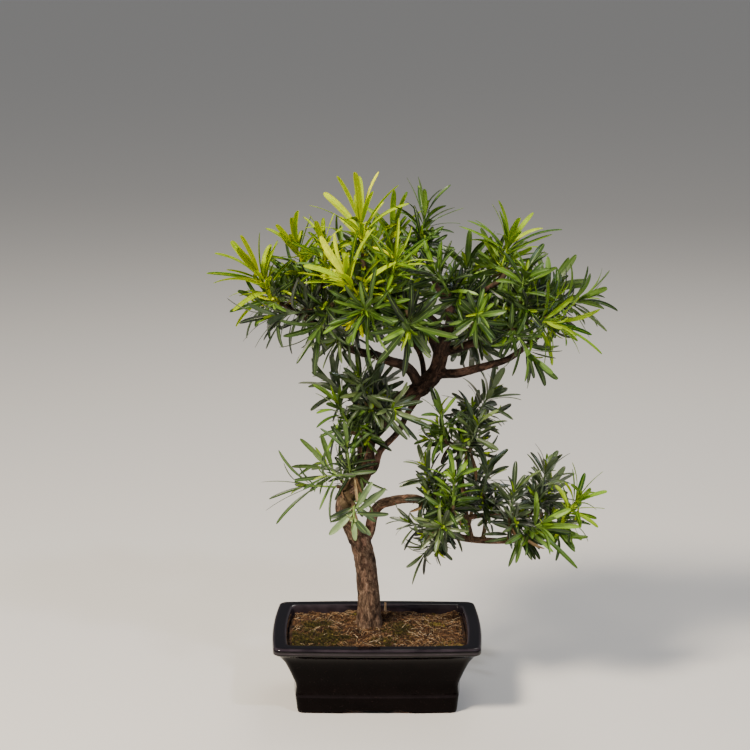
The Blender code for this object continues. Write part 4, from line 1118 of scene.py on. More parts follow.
# dark, damp blotches 7 mm wide and 10 mm long
blotchRun = addNode(bark, "Mapping", {"Scale": (0.14, 0.14, 0.1), "Vector": bent})
blotches = addNode(bark, "TexNoise", {"Scale": 1.0, "Detail": 3, "Roughness": 0.6, "Vector": blotchRun})
tint = mottled(bark, tint, blotches, [(0.38, "#857971"), (0.56, "#ffffff")])
seamMask = addNode(bark, "MapRange", {"range": (0.0, 0.07, 0.28, 0.0), "Value": seams})
tint = addNode(bark, "MixRGB", {"Color2": linear("#1d140f"), "Fac": seamMask, "Color1": tint})
twigMask = addNode(bark, "MapRange", {"range": (1.7, 2.6, 0.7, 0.0), "Value": girth})
tint = addNode(bark, "MixRGB", {"Color2": linear("#55482e"), "Fac": twigMask, "Color1": tint})
bump = addNode(bark, "Bump", {"Strength": 0.9, "Distance": 0.001, "Height": streaks})
edges = addNode(bark, "Bump", {"Strength": 0.3, "Distance": 0.0006, "Height": seams, "Normal": bump})
setNode(shader, {"Base Color": tint, "Normal": edges})

wood = makeWood(woodSettings)
runBark(wood, woodSettings)
dress(wood, (bark,), "bark", "trunk")
print("wood done", len(wood.data.polygons), "faces")

# Dry stub beside the trunk
stubSettings = {
    "place": (8.5, 33.0), "radius": 1.6, "low": 60.0, "high": 86.0, "uneven": 0.15, "seed": 5,
    "narrowing": (14.0, 0.55),          # over this length below the break, by this share
    "splinters": 2.6,
}


def makeStub(settings):
    draw = random.Random(settings["seed"])
    deselect()
    x, y = settings["place"]
    height = settings["high"] - settings["low"]
    bpy.ops.mesh.primitive_cylinder_add(vertices=10, radius=settings["radius"] * mm, depth=height * mm,
                                        location=(x * mm, y * mm, (settings["low"] + height / 2) * mm))
    stub = bpy.context.object
    stub.name = "dryStub"
    placeOrigin(stub)
    pickEdges(stub, runsAlong(2, 0.01))
    bpy.ops.mesh.subdivide(number_cuts=9)
    bpy.ops.object.mode_set(mode="OBJECT")
    top = settings["high"] * mm
    length, share = settings["narrowing"]
    uneven = settings["uneven"]
    for vert in stub.data.vertices:
        vert.co.x += draw.uniform(-uneven, uneven) * mm
        vert.co.y += draw.uniform(-uneven, uneven) * mm
        narrow = 1 - share * max(0.0, (vert.co.z - top + length * mm) / (length * mm))
        vert.co.x = (vert.co.x - x * mm) * narrow + x * mm
        vert.co.y = (vert.co.y - y * mm) * narrow + y * mm
        if vert.co.z > top - 0.0005:    # snapped off, with splinters
            vert.co.z -= draw.uniform(0.0, settings["splinters"]) * mm
    shadeByAngle(stub, 50)
    return stub


# Dead podocarpus twig, barkless: orange tan wood with fine long grain, 0.7 mm wide
# its colours are painted much paler than the wood is, as light, since it stands in the bole's shade
deadWood = plainMaterial("dryTwigWood", {"Roughness": 0.8}, [(0.3, "#f4a860"), (0.7, "#fff0cc")],
                         grain={"Scale": 1.0, "Detail": 3}, stretch=(1500, 1500, 120), relief=(0.5, 0.0003))

stub = makeStub(stubSettings)
dress(stub, (deadWood,), "dry_wood", "dry_stem")
print("stub done")

# Leaves
leafSettings = {
    # along the leaf, half width as a share of the widest, height of the upper ridge and of the keel in mm
    "rows": [(0.0, 0.17, 0.45, -0.55), (0.06, 0.18, 0.4, -0.55), (0.14, 0.4, 0.2, -0.6),
             (0.25, 0.72, 0.02, -0.6), (0.38, 0.93, -0.05, -0.58), (0.52, 1.0, -0.08, -0.56),
             (0.66, 1.0, -0.08, -0.54), (0.79, 0.92, -0.06, -0.5), (0.89, 0.74, -0.05, -0.45),
             (0.96, 0.46, -0.04, -0.4), (1.0, 0.12, -0.1, -0.3)],
    "edgeLift": 0.35,                   # the margins stand a little above the midrib, in mm
    # the solid's own leaf: half widths as shares, root and keel in mm, and how leaves stand on the stem
    "straight": 0.3, "shoulder": 0.46, "endAt": 0.74, "end": 0.43, "rootWidth": 1.3, "rootKeel": 0.8,
    "keel": 1.2, "rootOffset": 0.25, "gap": 0.3, "golden": 137.5, "crowd": 3.5, "lowestLean": 66.0,
    "highestLean": 24.0,
    # finer leaves and small side shoots that the solids leave out, on each shoot
    "extra": 11, "twigLeaves": 12, "budLeaves": 4, "sideShoots": 6, "sideBudLeaves": 3, "sideLeaves": 8,
    "sideReach": (13.0, 24.0),          # length of a side shoot in mm
    "sideSize": (0.62, 0.85),           # length of its leaves, as a share of the main shoot's
    # kinds of leaves: how far the lowest and the highest lean out in degrees, their lengths and their width
    # as shares of the shoot's, and their tone, which is 1 for the youngest
    "kinds": {
        "leaf": {"leans": (74, 26), "lengths": (0.85, 0.75), "width": 0.85, "tone": 0.55},
        "bud": {"leans": (24, 8), "lengths": (0.5, 0.22), "width": 0.5, "tone": 0.95},
        "old": {"leans": (58, 58), "lengths": (0.8, 1.0), "width": 0.8, "tone": 0.1},
        "sideBud": {"leans": (22, 10), "lengths": (0.5, 0.3), "width": 0.5, "tone": 0.95},
        "inner": {"leans": (68, 24), "lengths": (1.0, 0.8), "width": 0.8, "tone": 0.25},
    },
    # by spray or by shoot: share of the finer leaves, number of dead ones, how much darker and greyer it is
    "sparse": {"lower_left": 0.2, "middle_right": 0.8},
    "withered": {"crown_right": 1, "middle_right": 2, "lower_left": 2, "lower_right": 2},
    # the darker amounts are painted shade on the sprays that lie in shade; a negative amount is painted light
    "darker": {"crown_left": 0.42, "crown_top": 0.03, "crown_middle": 0.2, "crown_right": 0.12,
               "crown_back": 0.1, "lower_left": 0.25, "lower_left_shoot_4": -0.25, "lower_left_shoot_3": 0.3},
    "paler": {"lower_left": 0.3, "lower_left_shoot_1": 0.7, "lower_left_shoot_4": 0.8},
    "oddTone": 0.5, "toneSpread": 0.26,     # tone of leaves in the other colour, and how far tones vary
    "youngFrom": 4.0,                   # side shoots' leaves are young from this height above the stem's foot
    # how much wider a blunt leaf is than a pointed one, along its end, and how blunt each shade's leaves are
    "blunt": ([0.7, 0.79, 0.89, 0.96, 1.0], [0.0, 0.04, 0.18, 0.5, 2.2]),
    "bluntness": {"fresh": (0.55, 1.0), "bright": (0.2, 0.9), "green": (0.0, 0.8), "dark": (0.0, 0.8),
                  "withered": (0.0, 0.7)},
    "witheredSeed": 83, "cell": 30,
}


def bySpray(key, name, usual):
    # The setting of a shoot, or else of its spray
    rows = leafSettings[key]
    return rows.get(name, rows.get(name.split("_shoot_")[0], usual))


def coarseLeaf(root, way, face, length, width, bend, grow=0.0, start=0.0):
    # The solid's own leaf, which the clearance tests use
    settings = leafSettings
    straight, shoulder = settings["straight"], width * settings["shoulder"]
    side = way.cross(face).normalized()
    rootHalf = settings["rootWidth"] / 2 + (shoulder - settings["rootWidth"] / 2) * start / straight
    points = []
    outline = ((start, rootHalf), (straight, shoulder), (settings["endAt"], width * settings["end"]))
    for along, half in outline:
        arch = max(0.0, along - straight)
        place = root + way * length * along - face * length * bend * arch ** 2
        up = (face + way * 2.0 * bend * arch).normalized()
        out = side * (half + grow)
        keel = settings["keel"] if along >= straight else settings["rootKeel"]
        points += [place - out + up * grow, place + out + up * grow, place - up * (keel + grow)]
    points.append(root + way * (length + grow) - face * (length * bend * 0.49 + settings["keel"] * 0.4))
    faces = [(0, 2, 1)]
    for row in (0, 3):
        faces += [(row, row + 1, row + 4), (row, row + 4, row + 3), (row, row + 3, row + 5),
                  (row, row + 5, row + 2), (row + 1, row + 2, row + 5), (row + 1, row + 5, row + 4)]
    faces += [(6, 7, 9), (6, 9, 8), (7, 8, 9)]
    return points, faces


class Placed:
    # Keeps what has been placed, sorted in cells, to test a new leaf against it
    def __init__(self):
        self.entries = []
        self.cells = {}

    def reach(self, points):
        cell = leafSettings["cell"]
        low = [min(point[axis] for point in points) for axis in range(3)]
        high = [max(point[axis] for point in points) for axis in range(3)]
        spans = [range(int(low[axis] // cell), int(high[axis] // cell) + 1) for axis in range(3)]
        return low, high, [(i, j, k) for i in spans[0] for j in spans[1] for k in spans[2]]

    def add(self, group, points, faces):
        low, high, cells = self.reach(points)
        for cell in cells:
            self.cells.setdefault(cell, []).append(len(self.entries))
        self.entries.append((group, low, high, BVHTree.FromPolygons(points, faces)))

    def clear(self, points, faces, skip=()):
        low, high, cells = self.reach(points)
        tree = None
        for index in {index for cell in cells for index in self.cells.get(cell, ())}:
            group, otherLow, otherHigh, other = self.entries[index]
            apart = (low[0] > otherHigh[0] or high[0] < otherLow[0] or low[1] > otherHigh[1]
                     or high[1] < otherLow[1] or low[2] > otherHigh[2] or high[2] < otherLow[2])
            if apart or group in skip:
                continue
            tree = tree or BVHTree.FromPolygons(points, faces)
            if tree.overlap(other):
                return False
        return True


def outwardAt(axis, angle):
    # The direction across an axis at this angle round it
    across = axis.orthogonal().normalized()
    return across * math.cos(angle) + axis.cross(across) * math.sin(angle)


def stemSide(axis, way):
    # Outward normal of the side of the stem that a leaf leaves by
    across = axis.orthogonal().normalized()
    quarter = math.floor(math.atan2(way.dot(axis.cross(across)), way.dot(across)) / (math.pi / 2))
    return outwardAt(axis, (quarter + 0.5) * math.pi / 2)


def leafWishes(axis, foot, tip, count, length, seen, draw):
    # Where each leaf would like to stand: root, way, length; the plainest ones first, then a spiral
    wishes = []
    for index, (reachX, reachZ) in enumerate(seen):
        reach = math.hypot(reachX, reachZ)
        full = max(reach * 1.03, length * 0.85)
        depth = math.sqrt(full ** 2 - reach ** 2)
        toward = -1.0 if axis.y < 0.35 else 1.0
        way = Vector((reachX, toward * depth * 0.8, reachZ)).normalized()
        along = 1.0 - min(0.75, way.angle(axis) / math.pi) - 0.04 * index
        wishes.append((foot.lerp(tip, max(0.2, along)), way, full))
    turn = draw.uniform(0.0, 360.0)
    lowest, highest = leafSettings["lowestLean"], leafSettings["highestLean"]
    rest = max(0, count - len(seen))
    for index in range(rest):
        share = index / max(1, rest - 1)
        lean = math.radians(lowest + (highest - lowest) * share)
        outward = outwardAt(axis, math.radians(turn + leafSettings["golden"] * index))
        way = axis * math.cos(lean) + outward * math.sin(lean)
        size = length * (0.82 + 0.18 * math.sin(math.pi * (0.2 + 0.7 * share))) * draw.uniform(0.9, 1.05)
        wishes.append((foot.lerp(tip, 0.3 + 0.68 * share), way.normalized(), size))
    return wishes


def turnedLeaf(way, axis, loose, times, draw):
    # A leaf's way, turned at random, and where its upper side faces
    turn = Vector((draw.gauss(0, 1), draw.gauss(0, 1), draw.gauss(0, 1))).normalized()
    way = (way + turn * loose * times * draw.random()).normalized()
    face = axis - way * axis.dot(way)
    if face.length < 0.2:
        face = Vector((0, 0, 1)) - way * way.z
    return way, face.normalized()


def placeLeaf(group, wish, axis, width, placed, sisters, draw):
    # Tries turns of growing size until the leaf stands clear of all other pieces
    seat, way, length = wish
    for attempt in range(90):
        if attempt > 50:
            length *= 0.985
        newWay, face = turnedLeaf(way, axis, min(1.0, 0.02 * attempt), 1, draw)
        face = Quaternion(newWay, draw.uniform(-0.5, 0.5)) @ face
        root = seat + stemSide(axis, newWay) * leafSettings["rootOffset"]
        form = (root, newWay, face, length, width, draw.uniform(0.1, 0.5))
        if not placed.clear(*coarseLeaf(*form, grow=leafSettings["gap"] + 0.1), skip=(group,)):
            continue
        outer = leafSettings["crowd"] / length
        if not sisters.clear(*coarseLeaf(*form, grow=0.1, start=outer)):
            continue
        placed.add(group, *coarseLeaf(*form))
        sisters.add(group, *coarseLeaf(*form, start=outer))
        return form
    return None


def insideBox(points):
    # True if all the points, in millimetres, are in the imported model's box
    return all(boxLow[axis] < point[axis] * mm < boxHigh[axis] for point in points for axis in range(3))


def placeExtra(group, wish, axis, width, placed, bareWood, sisters, draw):
    # The same for the finer leaves, which bend more and stay inside the model's box as well
    seat, way, length = wish
    for attempt in range(24):
        if attempt > 8:
            length *= 0.95
        newWay, face = turnedLeaf(way, axis, 0.05, attempt, draw)
        rolls = [Quaternion(newWay, draw.uniform(-0.9, 0.9)) @ face for turned in range(2)]
        face = max(rolls, key=lambda roll: abs(roll.y))     # leaves lie open to the front rather than edge on
        form = (seat, newWay, face, length, width, draw.uniform(0.1, 1.1))
        points, faces = coarseLeaf(*form, grow=0.15)
        outer = coarseLeaf(*form, start=min(0.29, leafSettings["crowd"] / length))
        if not insideBox(points) or not bareWood.clear(*outer) or not sisters.clear(*outer):
            continue
        if placed.clear(points, faces, skip=(group, "trunk")):
            placed.add(group, *coarseLeaf(*form))
            sisters.add(group, *outer)
            return form
    return None


def spiralWishes(foot, tip, spots, kind, length, turn, draw):
    # Leaves of one kind in a spiral up a stem: root, way, length, kind and the stem's axis
    lowLean, highLean = leafSettings["kinds"][kind]["leans"]
    lowLength, highLength = (length * share for share in leafSettings["kinds"][kind]["lengths"])
    axis = (tip - foot).normalized()
    wishes = []
    for index, spot in enumerate(spots):
        share = index / max(1, len(spots) - 1)
        lean = math.radians(lowLean + (highLean - lowLean) * share + draw.uniform(-8, 8))
        outward = outwardAt(axis, math.radians(turn + leafSettings["golden"] * index))
        way = axis * math.cos(lean) + outward * math.sin(lean)
        size = (lowLength + (highLength - lowLength) * share) * draw.uniform(0.85, 1.1)
        wishes.append((foot.lerp(tip, spot), way, size, kind, axis))
    return wishes


def alongTwig(path, distance):
    # The place this far back from the twig's end, and the way that the twig runs there
    for after, before in zip(reversed(path), reversed(path[:-1])):
        span = (after - before).length
        if distance <= span:
            return after.lerp(before, distance / span), (after - before).normalized()
        distance -= span
    return None, None


def extraWishes(plan, length, full, draw):
    # Finer leaves: young ones in the bud, more between the others, and older ones down the twig
    foot, tip, path = plan[1:4]
    turn = draw.uniform(0.0, 360.0)
    extra = round(leafSettings["extra"] * full)
    twigLeaves = round(leafSettings["twigLeaves"] * full)
    spots = [0.97 - 0.03 * index for index in range(leafSettings["budLeaves"])]
    wishes = spiralWishes(foot, tip, spots, "bud", length, turn, draw)
    spots = [0.06 + 0.88 * index / (extra - 1) for index in range(extra)]
    wishes += spiralWishes(foot, tip, spots, "leaf", length, turn + 70, draw)
    for index in range(twigLeaves):
        place, run = alongTwig(path, 2.0 + 36.0 * index / twigLeaves)
        if place:
            wishes += spiralWishes(place, place + run, [0.0], "old", length,
                                   turn + 200 + leafSettings["golden"] * index, draw)
    return wishes


def growSideShoots(name, plan, length, full, placed, bareWood, draw):
    # Small green shoots that leave the twig below the main one: foot, tip and leaves' wishes of each
    grownHere = []
    for index in range(round(leafSettings["sideShoots"] * full)):
        for attempt in range(14):
            place, run = alongTwig(plan[3], draw.uniform(5.0, 26.0 + 8.0 * index))
            if not place:
                continue
            out = Quaternion(run, draw.uniform(0, math.tau)) @ run.orthogonal().normalized()
            way = (run * 0.6 + out * 0.8 + Vector((0, 0, 0.35))).normalized()
            tip = place + way * draw.uniform(*leafSettings["sideReach"])
            rod = coarseTube([place + way * 3.5, place.lerp(tip, 0.6), tip], [1.2, 1.1, 0.9], 4)
            head = coarseTube([tip, tip + way * length * 0.35], [4.0, 4.0], 4)      # room for its leaves
            if not insideBox(rod[0] + head[0]) or not bareWood.clear(*rod) or not bareWood.clear(*head):
                continue
            if placed.clear(*rod) and placed.clear(*head, skip=(name,)):
                placed.add(name, *rod)
                small = length * draw.uniform(*leafSettings["sideSize"])
                spots = [0.98 - 0.02 * step for step in range(leafSettings["sideBudLeaves"])]
                wishes = spiralWishes(place, tip, spots, "sideBud", small, draw.uniform(0, 360), draw)
                spots = [0.2 + 0.1 * step for step in range(leafSettings["sideLeaves"])]
                wishes += spiralWishes(place, tip, spots, "inner", small, draw.uniform(0, 360), draw)
                grownHere.append((place, tip, wishes))
                break
    return grownHere


def leafTemplate(settings):
    # One flat leaf of unit length and width: a four-sided rod in rows that are each scaled to the outline
    rows = settings["rows"]
    cuts = len(rows) - 2
    deselect()
    bpy.ops.mesh.primitive_cylinder_add(vertices=4, radius=1, depth=1, location=(0, 0.5, 0),
                                        end_fill_type="NOTHING", rotation=(-math.pi / 2, 0, 0))
    leaf = bpy.context.object
    leaf.name = "leafTemplate"
    placeOrigin(leaf)
    pickEdges(leaf, runsAlong(1, 0.5))
    bpy.ops.mesh.subdivide(number_cuts=cuts)
    bpy.ops.mesh.select_mode(type="VERT")
    for index in reversed(range(len(rows))):
        along, half, ridge, keel = rows[index]
        even = index / (cuts + 1)
        pickVerts(leaf, lambda place: abs(place.y - even) < 0.02 and abs(place.x) > 0.5)
        bpy.ops.transform.resize(value=(half, 1, 1), center_override=(0, even, 0))
        pickVerts(leaf, lambda place: abs(place.y - even) < 0.02 and place.z > 0.5)
        bpy.ops.transform.translate(value=(0, 0, ridge - 1))
        pickVerts(leaf, lambda place: abs(place.y - even) < 0.02 and place.z < -0.5)
        bpy.ops.transform.translate(value=(0, 0, keel + 1))
    for isEnd in (lambda place: place.y < 0.02, lambda place: place.y > 0.98):
        pickVerts(leaf, isEnd)
        bpy.ops.mesh.edge_face_add()
    leaveEditing()
    shadeByAngle(leaf, 70)
    # margins a little higher than the midrib, rows at their real places, a map of the blade and its underside
    mesh = leaf.data
    blade = []
    for vert in mesh.vertices:
        along, half = rows[round(vert.co.y * (cuts + 1))][:2]
        edge = abs(vert.co.x) > half * 0.5
        blade.append((0.5 + math.copysign(0.5, vert.co.x) if edge else 0.5, along))
        if edge:
            vert.co.z += settings["edgeLift"] * min(1.0, half)
        vert.co.y = along
    grid = mesh.uv_layers.new(name="blade")
    for loop in mesh.loops:
        grid.data[loop.index].uv = blade[loop.vertex_index]
    under = mesh.attributes.new("underSide", "FLOAT", "FACE")
    for face in mesh.polygons:
        under.data[face.index].value = 1.0 if face.normal.z < 0 else 0.0
    return leaf


def bendLeaf(points, form, blunt, draw):
    # The template's points along the arched, slightly twisted line of one leaf, in metres
    root, way, face, length, width, bend = form
    width = width * 2 * leafSettings["shoulder"]
    side = np.array(way.cross(face).normalized())
    way, face, root = np.array(way), np.array(face), np.array(root)
    along = points[:, 1]
    arch = np.maximum(0.0, along - leafSettings["straight"])
    twist = draw.gauss(0, 0.16) * along ** 1.5
    sway = draw.gauss(0, 0.012)
    centre = root + np.outer(length * along, way) - np.outer(length * bend * arch ** 2, face)
    centre = centre + np.outer(length * sway * along ** 2, side)
    up = face + np.outer(2.0 * bend * arch, way)
    up /= np.linalg.norm(up, axis=1)[:, None]
    turned = np.cos(twist)[:, None] * side + np.sin(twist)[:, None] * up
    lifted = np.cos(twist)[:, None] * up - np.sin(twist)[:, None] * side
    thick = np.clip(width / 8.0, 0.45, 1.1)
    half = points[:, 0] * width / 2 * (1.0 + blunt * np.interp(along, *leafSettings["blunt"]))
    return (centre + turned * half[:, None] + lifted * (points[:, 2:3] * thick)) * mm


def fitLeaf(points, form, blunt, draw):
    # The same leaf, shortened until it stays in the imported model's box
    for attempt in range(14):
        shape = bendLeaf(points, form, blunt, draw)
        if (shape > boxLow).all() and (shape < boxHigh).all():
            break
        form = (*form[:3], form[3] * 0.985, *form[4:])
    return shape


def greenStem(foot, tip, radius, points):
    # A shoot's stem, soft and green: the same rod as a straw, thicker
    axis = (tip - foot).normalized()
    rows = points[:, 2]
    across = axis.orthogonal().normalized()
    centre = np.array(foot) + np.outer(rows, np.array(tip - foot))
    ring = points[:, :1] * np.array(across) + points[:, 1:2] * np.array(axis.cross(across))
    return (centre + ring * (radius * (1.0 - 0.3 * rows))[:, None]) * mm


# Podocarpus leaves: leathery with a soft gloss, a paler midrib, fine lengthwise veins and a duller underside.
# Colours of the oldest, the usual and the youngest leaf of each shade, of its midrib and of its underside
leafShades = {
    "leaf_fresh": {"name": "youngLeaf", "tones": ("#36520a", "#a2c208", "#ecfa08"), "rib": "#c4c41c",
                   "under": "#98a608", "rough": 0.55, "shine": 0.03, "thin": 0.5},
    "leaf_bright": {"name": "springLeaf", "tones": ("#22420a", "#68900e", "#b2ce14"), "rib": "#a0bc24",
                    "under": "#769424", "rough": 0.48, "shine": 0.2, "thin": 0.3},
    "leaf_green": {"name": "grownLeaf", "tones": ("#122408", "#3f6014", "#80a82c"), "rib": "#86a648",
                   "under": "#608036", "rough": 0.37, "shine": 0.5, "thin": 0.0},
    "leaf_dark": {"name": "oldLeaf", "tones": ("#101c0c", "#3b4f24", "#74884a"), "rib": "#7c9068",
                  "under": "#647654", "rough": 0.33, "shine": 0.9, "thin": 0.0},
    "withered": {"name": "witheredLeaf", "tones": ("#33231a", "#75583a", "#b89c74"), "rib": "#9c8460",
                 "under": "#8a724e", "rough": 0.6, "shine": 0.3, "thin": 0.0},
}


def leafMaterial(shade):
    leafy, shader = newMaterial(shade["name"], {
        "Roughness": shade["rough"], "IOR": 1.45, "Specular IOR Level": shade["shine"],
        "Subsurface Weight": shade["thin"], "Subsurface Radius": (0.7, 1.0, 0.2), "Subsurface Scale": 0.0015})
    tone = addNode(leafy, "Attribute", {"attribute_name": "tone"}).outputs["Fac"]
    grid = addNode(leafy, "UVMap", {"uv_map": "blade"})
    split = addNode(leafy, "SeparateXYZ", {"Vector": grid})
    place = addNode(leafy, "TexCoord").outputs["Object"]
    low, middle, high = shade["tones"]
    tint = addNode(leafy, "ValToRGB", {"stops": [(0.0, low), (0.5, middle), (1.0, high)], "Fac": tone})
    patch = addNode(leafy, "TexNoise", {"Scale": 110, "Detail": 2, "Vector": place})    # 9 mm
    tint = mottled(leafy, tint, patch, [(0.3, "#c9cdbd"), (0.7, "#ffffff")], 0.8)
    paler = addNode(leafy, "Attribute", {"attribute_name": "paler"}).outputs["Fac"]
    tint = addNode(leafy, "HueSaturation", {"Hue": 0.515, "Saturation": 0.55, "Value": 1.1, "Fac": paler,
                                            "Color": tint})
    # paler towards the stalk
    stalk = addNode(leafy, "MapRange", {"range": (0.0, 0.3, 0.45, 0.0), "Value": split.outputs["Y"]})
    tint = addNode(leafy, "MixRGB", {"Color2": linear(shade["rib"]), "Fac": stalk, "Color1": tint})
    # midrib, about 0.6 mm wide on an 8 mm leaf
    offMiddle = addNode(leafy, "Math", {"operation": "SUBTRACT", 0: split, 1: 0.5})
    away = addNode(leafy, "Math", {"operation": "ABSOLUTE", 0: offMiddle})
    rib = addNode(leafy, "MapRange", {"range": (0.02, 0.06, 0.5, 0.0), "Value": away})
    tint = addNode(leafy, "MixRGB", {"Color2": linear(shade["rib"]), "Fac": rib, "Color1": tint})
    under = addNode(leafy, "Attribute", {"attribute_name": "underSide"}).outputs["Fac"]
    underMask = addNode(leafy, "Math", {"operation": "MULTIPLY", 0: under, 1: 0.55})
    tint = addNode(leafy, "MixRGB", {"Color2": linear(shade["under"]), "Fac": underMask, "Color1": tint})
    # veins 0.3 mm wide and 15 mm long, drawn coarser than real so that they show
    veinRun = addNode(leafy, "Mapping", {"Scale": (26, 3, 1), "Vector": grid})
    veins = addNode(leafy, "TexNoise", {"Scale": 1.0, "Detail": 2, "Vector": veinRun})
    veinBump = addNode(leafy, "Bump", {"Strength": 0.25, "Distance": 0.0003, "Height": veins})
    ribBump = addNode(leafy, "Bump", {"Strength": 0.6, "Distance": 0.0005, "Height": rib, "Normal": veinBump})
    # the blade is folded a little along its midrib, so one half catches more light than the other
    fold = addNode(leafy, "Bump", {"Strength": 1.0, "Distance": 0.0018, "Height": away, "Normal": ribBump})
    setNode(shader, {"Base Color": tint, "Normal": fold})
    return leafy


leafMaterials = {slot: leafMaterial(shade) for slot, shade in leafShades.items()}
template = leafTemplate(leafSettings)
templatePoints = asTemplate(template)
stemTemplate = strawStrand()
stemPoints = asTemplate(stemTemplate)
grid = stemTemplate.data.uv_layers.new(name="blade")
for loop in stemTemplate.data.loops:
    grid.data[loop.index].uv = (0.5, 0.0)
stemTemplate.data.attributes.new("underSide", "FLOAT", "FACE")

# What leaves keep clear of: the wood, the shoots' stems, and then each other
placed = Placed()
bareWood = Placed()                     # the wood alone, which finer leaves may touch where they grow from it
for points, faces in coarseWood:
    for kept in (placed, bareWood):
        kept.add("trunk", asStored(points), faces)
for name, plan, shoot in plans:
    axis, foot, tip = plan[:3]
    radius = woodSettings["stemRadius"]
    placed.add(name, *coarseTube([foot + axis * leafSettings["gap"], foot.lerp(tip, 0.5), tip],
                                 [radius, radius * 0.95, radius * 0.7], 4))

# The solids' leaves, in the same places
grown = []                              # name, plan, row of the table, leaves to test against, leaves, stems
for name, plan, shoot in plans:
    draw = random.Random(name)
    axis, foot, tip = plan[:3]
    count, length, width, shade, seen = shoot[3:]
    sisters = Placed()
    forms = []
    for wish in leafWishes(axis, foot, tip, count, length, seen, draw):
        form = placeLeaf(name, wish, axis, width * draw.uniform(0.85, 1.05), placed, sisters, draw)
        if form:
            forms.append((form, "leaf"))
    stems = [(foot + axis * leafSettings["gap"], tip, woodSettings["stemRadius"])]
    grown.append((name, plan, shoot, sisters, forms, stems))
print("solids' leaves placed", sum(len(row[4]) for row in grown))

# Finer leaves and side shoots
for name, plan, shoot, sisters, forms, stems in grown:
    length, width = shoot[4:6]
    draw = random.Random(name + " side")
    wishes = []
    full = bySpray("sparse", name, 1.0)
    for foot, tip, sideWishes in growSideShoots(name, plan, length, full, placed, bareWood, draw):
        stems.append((foot, tip, woodSettings["sideStemRadius"]))
        wishes += sideWishes
    draw = random.Random(name + " finer")
    for seat, way, size, kind, axis in extraWishes(plan, length, full, draw) + wishes:
        slim = width * leafSettings["kinds"][kind]["width"] * draw.uniform(0.75, 1.0)
        form = placeExtra(name, (seat, way, size), axis, slim, placed, bareWood, sisters, draw)
        if form:
            forms.append((form, kind))

# Dead leaves that hang from the twigs
draw = random.Random(leafSettings["witheredSeed"])
withered = []
for name, plan, shoot, sisters, forms, stems in grown:
    length, width = shoot[4:6]
    for index in range(bySpray("withered", name, 0)):
        place, run = alongTwig(plan[3], draw.uniform(0.5, 12.0))
        if place:
            out = Quaternion(run, draw.uniform(0, math.tau)) @ run.orthogonal().normalized()
            way = (out * 0.75 + Vector((0, 0, -0.8))).normalized()
            form = placeExtra(name, (place, way, length * draw.uniform(0.5, 0.95)), run, width * 0.62, placed,
                              bareWood, sisters, draw)
            if form:
                withered.append(form)
print("all leaves placed", sum(len(row[4]) for row in grown), "on", sum(len(row[5]) for row in grown),
      "shoots and", len(withered), "withered ones")

# One piece for each shoot
for name, plan, shoot, sisters, forms, stems in grown:
    draw = random.Random(name + " form")
    blunt = leafSettings["bluntness"][shoot[6]]
    shapes = [fitLeaf(templatePoints, form, draw.uniform(*blunt), draw) for form, kind in forms]
    # last year's leaves, below the young ones, are plain green, and the buds of old shoots bright green
    young = shoot[6] in ("fresh", "bright")
    youngFrom = plan[1].z + leafSettings["youngFrom"]
    odd = [kind == "old" or kind == "inner" and form[0].z < youngFrom if young else kind in ("bud", "sideBud")
           for form, kind in forms]
    # leaves of sprays in shade are painted darker, as shade, by lowering their tones
    darker = bySpray("darker", name, 0.0)
    usual = [leafSettings["oddTone"] if isOdd else leafSettings["kinds"][kind]["tone"] - darker
             for (form, kind), isOdd in zip(forms, odd)]
    tones = [min(1.0, max(0.0, draw.gauss(tone, leafSettings["toneSpread"]))) for tone in usual]
    leaves = placeCopies(name + "_leaves", template, shapes, tones)
    rods = placeCopies("greenStem", stemTemplate, [greenStem(*stem, stemPoints) for stem in stems],
                       [0.7] * len(stems))
    joinAll([leaves, rods], name + "_leaves")
    grey = np.full(len(leaves.data.vertices), bySpray("paler", name, 0.0), dtype=np.float32)
    leaves.data.attributes.new("paler", "FLOAT", "POINT").data.foreach_set("value", grey)
    slot = "leaf_" + shoot[6]
    dress(leaves, (leafMaterials[slot], leafMaterials["leaf_green" if young else "leaf_bright"]), slot, name)
    oddFaces = np.repeat(odd, len(template.data.polygons))
    slots = np.zeros(len(leaves.data.polygons), dtype=np.int32)
    slots[:len(oddFaces)] = oddFaces
    leaves.data.polygons.foreach_set("material_index", slots)
blunt = leafSettings["bluntness"]["withered"]
shapes = [fitLeaf(templatePoints, form, draw.uniform(*blunt), draw) for form in withered]
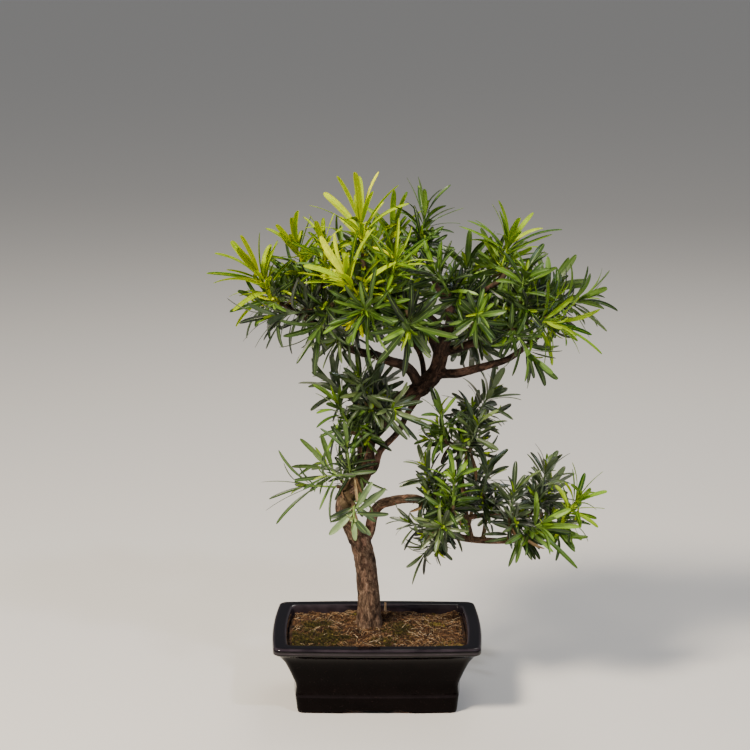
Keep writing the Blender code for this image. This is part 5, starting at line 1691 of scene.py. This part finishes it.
deadLeaves = placeCopies("witheredLeaves", template, shapes, [draw.random() for form in withered])
dress(deadLeaves, (leafMaterials["withered"],), "dry_wood")
bpy.data.objects.remove(template, do_unlink=True)
bpy.data.objects.remove(stemTemplate, do_unlink=True)
print("leaves done")

# Floor and light
floorSettings = {"size": 80.0, "colour": "#dcd9d4"}
lightSettings = {
    "horizon": "#8f8d8b", "zenith": "#f4f6fa", "skyStrength": 0.32,
    "aim": (0.02, 0, 0.26),
    "lamps": [  # name, place, size in metres, watts, colour
        ("keyLamp", (-1.1, -1.3, 2.0), 0.48, 118, "#fff1dc"),
        ("fillLamp", (1.1, -1.4, 2.0), 0.16, 21, "#e6edff"),
        ("backLamp", (0.5, 1.5, 2.0), 1.1, 20, "#fffaf2"),
    ],
}

deselect()
bpy.ops.mesh.primitive_plane_add(size=floorSettings["size"])
floor = bpy.context.object
floor.name = "paleFloor"
paint, shader = newMaterial("matteFloorPaint", {"Roughness": 0.7,
                                                "Base Color": linear(floorSettings["colour"])})
floor.data.materials.append(paint)
floor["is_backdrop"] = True

# Soft ceiling light over a darker room
world = bpy.context.scene.world or bpy.data.worlds.new("studio")
bpy.context.scene.world = world
world.use_nodes = True
direction = addNode(world, "SeparateXYZ", {"Vector": addNode(world, "TexCoord").outputs["Generated"]})
glow = addNode(world, "ValToRGB", {"stops": [(0.05, lightSettings["horizon"]),
                                             (0.55, lightSettings["zenith"])],
                                   "Fac": direction.outputs["Z"]})
setNode(world.node_tree.nodes["Background"], {"Strength": lightSettings["skyStrength"], "Color": glow})
for name, place, size, watts, colour in lightSettings["lamps"]:
    bpy.ops.object.light_add(type="AREA", location=place)
    lamp = bpy.context.object
    lamp.name = name
    lamp.data.size = size
    lamp.data.energy = watts
    lamp.data.color = linear(colour)[:3]
    toward = Vector(lightSettings["aim"]) - Vector(place)
    lamp.rotation_euler = toward.to_track_quat("-Z", "Y").to_euler()
print("floor and light done")

newLow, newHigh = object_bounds()
{"cad": [list(boxLow), list(boxHigh)], "visual": [list(newLow), list(newHigh)]}
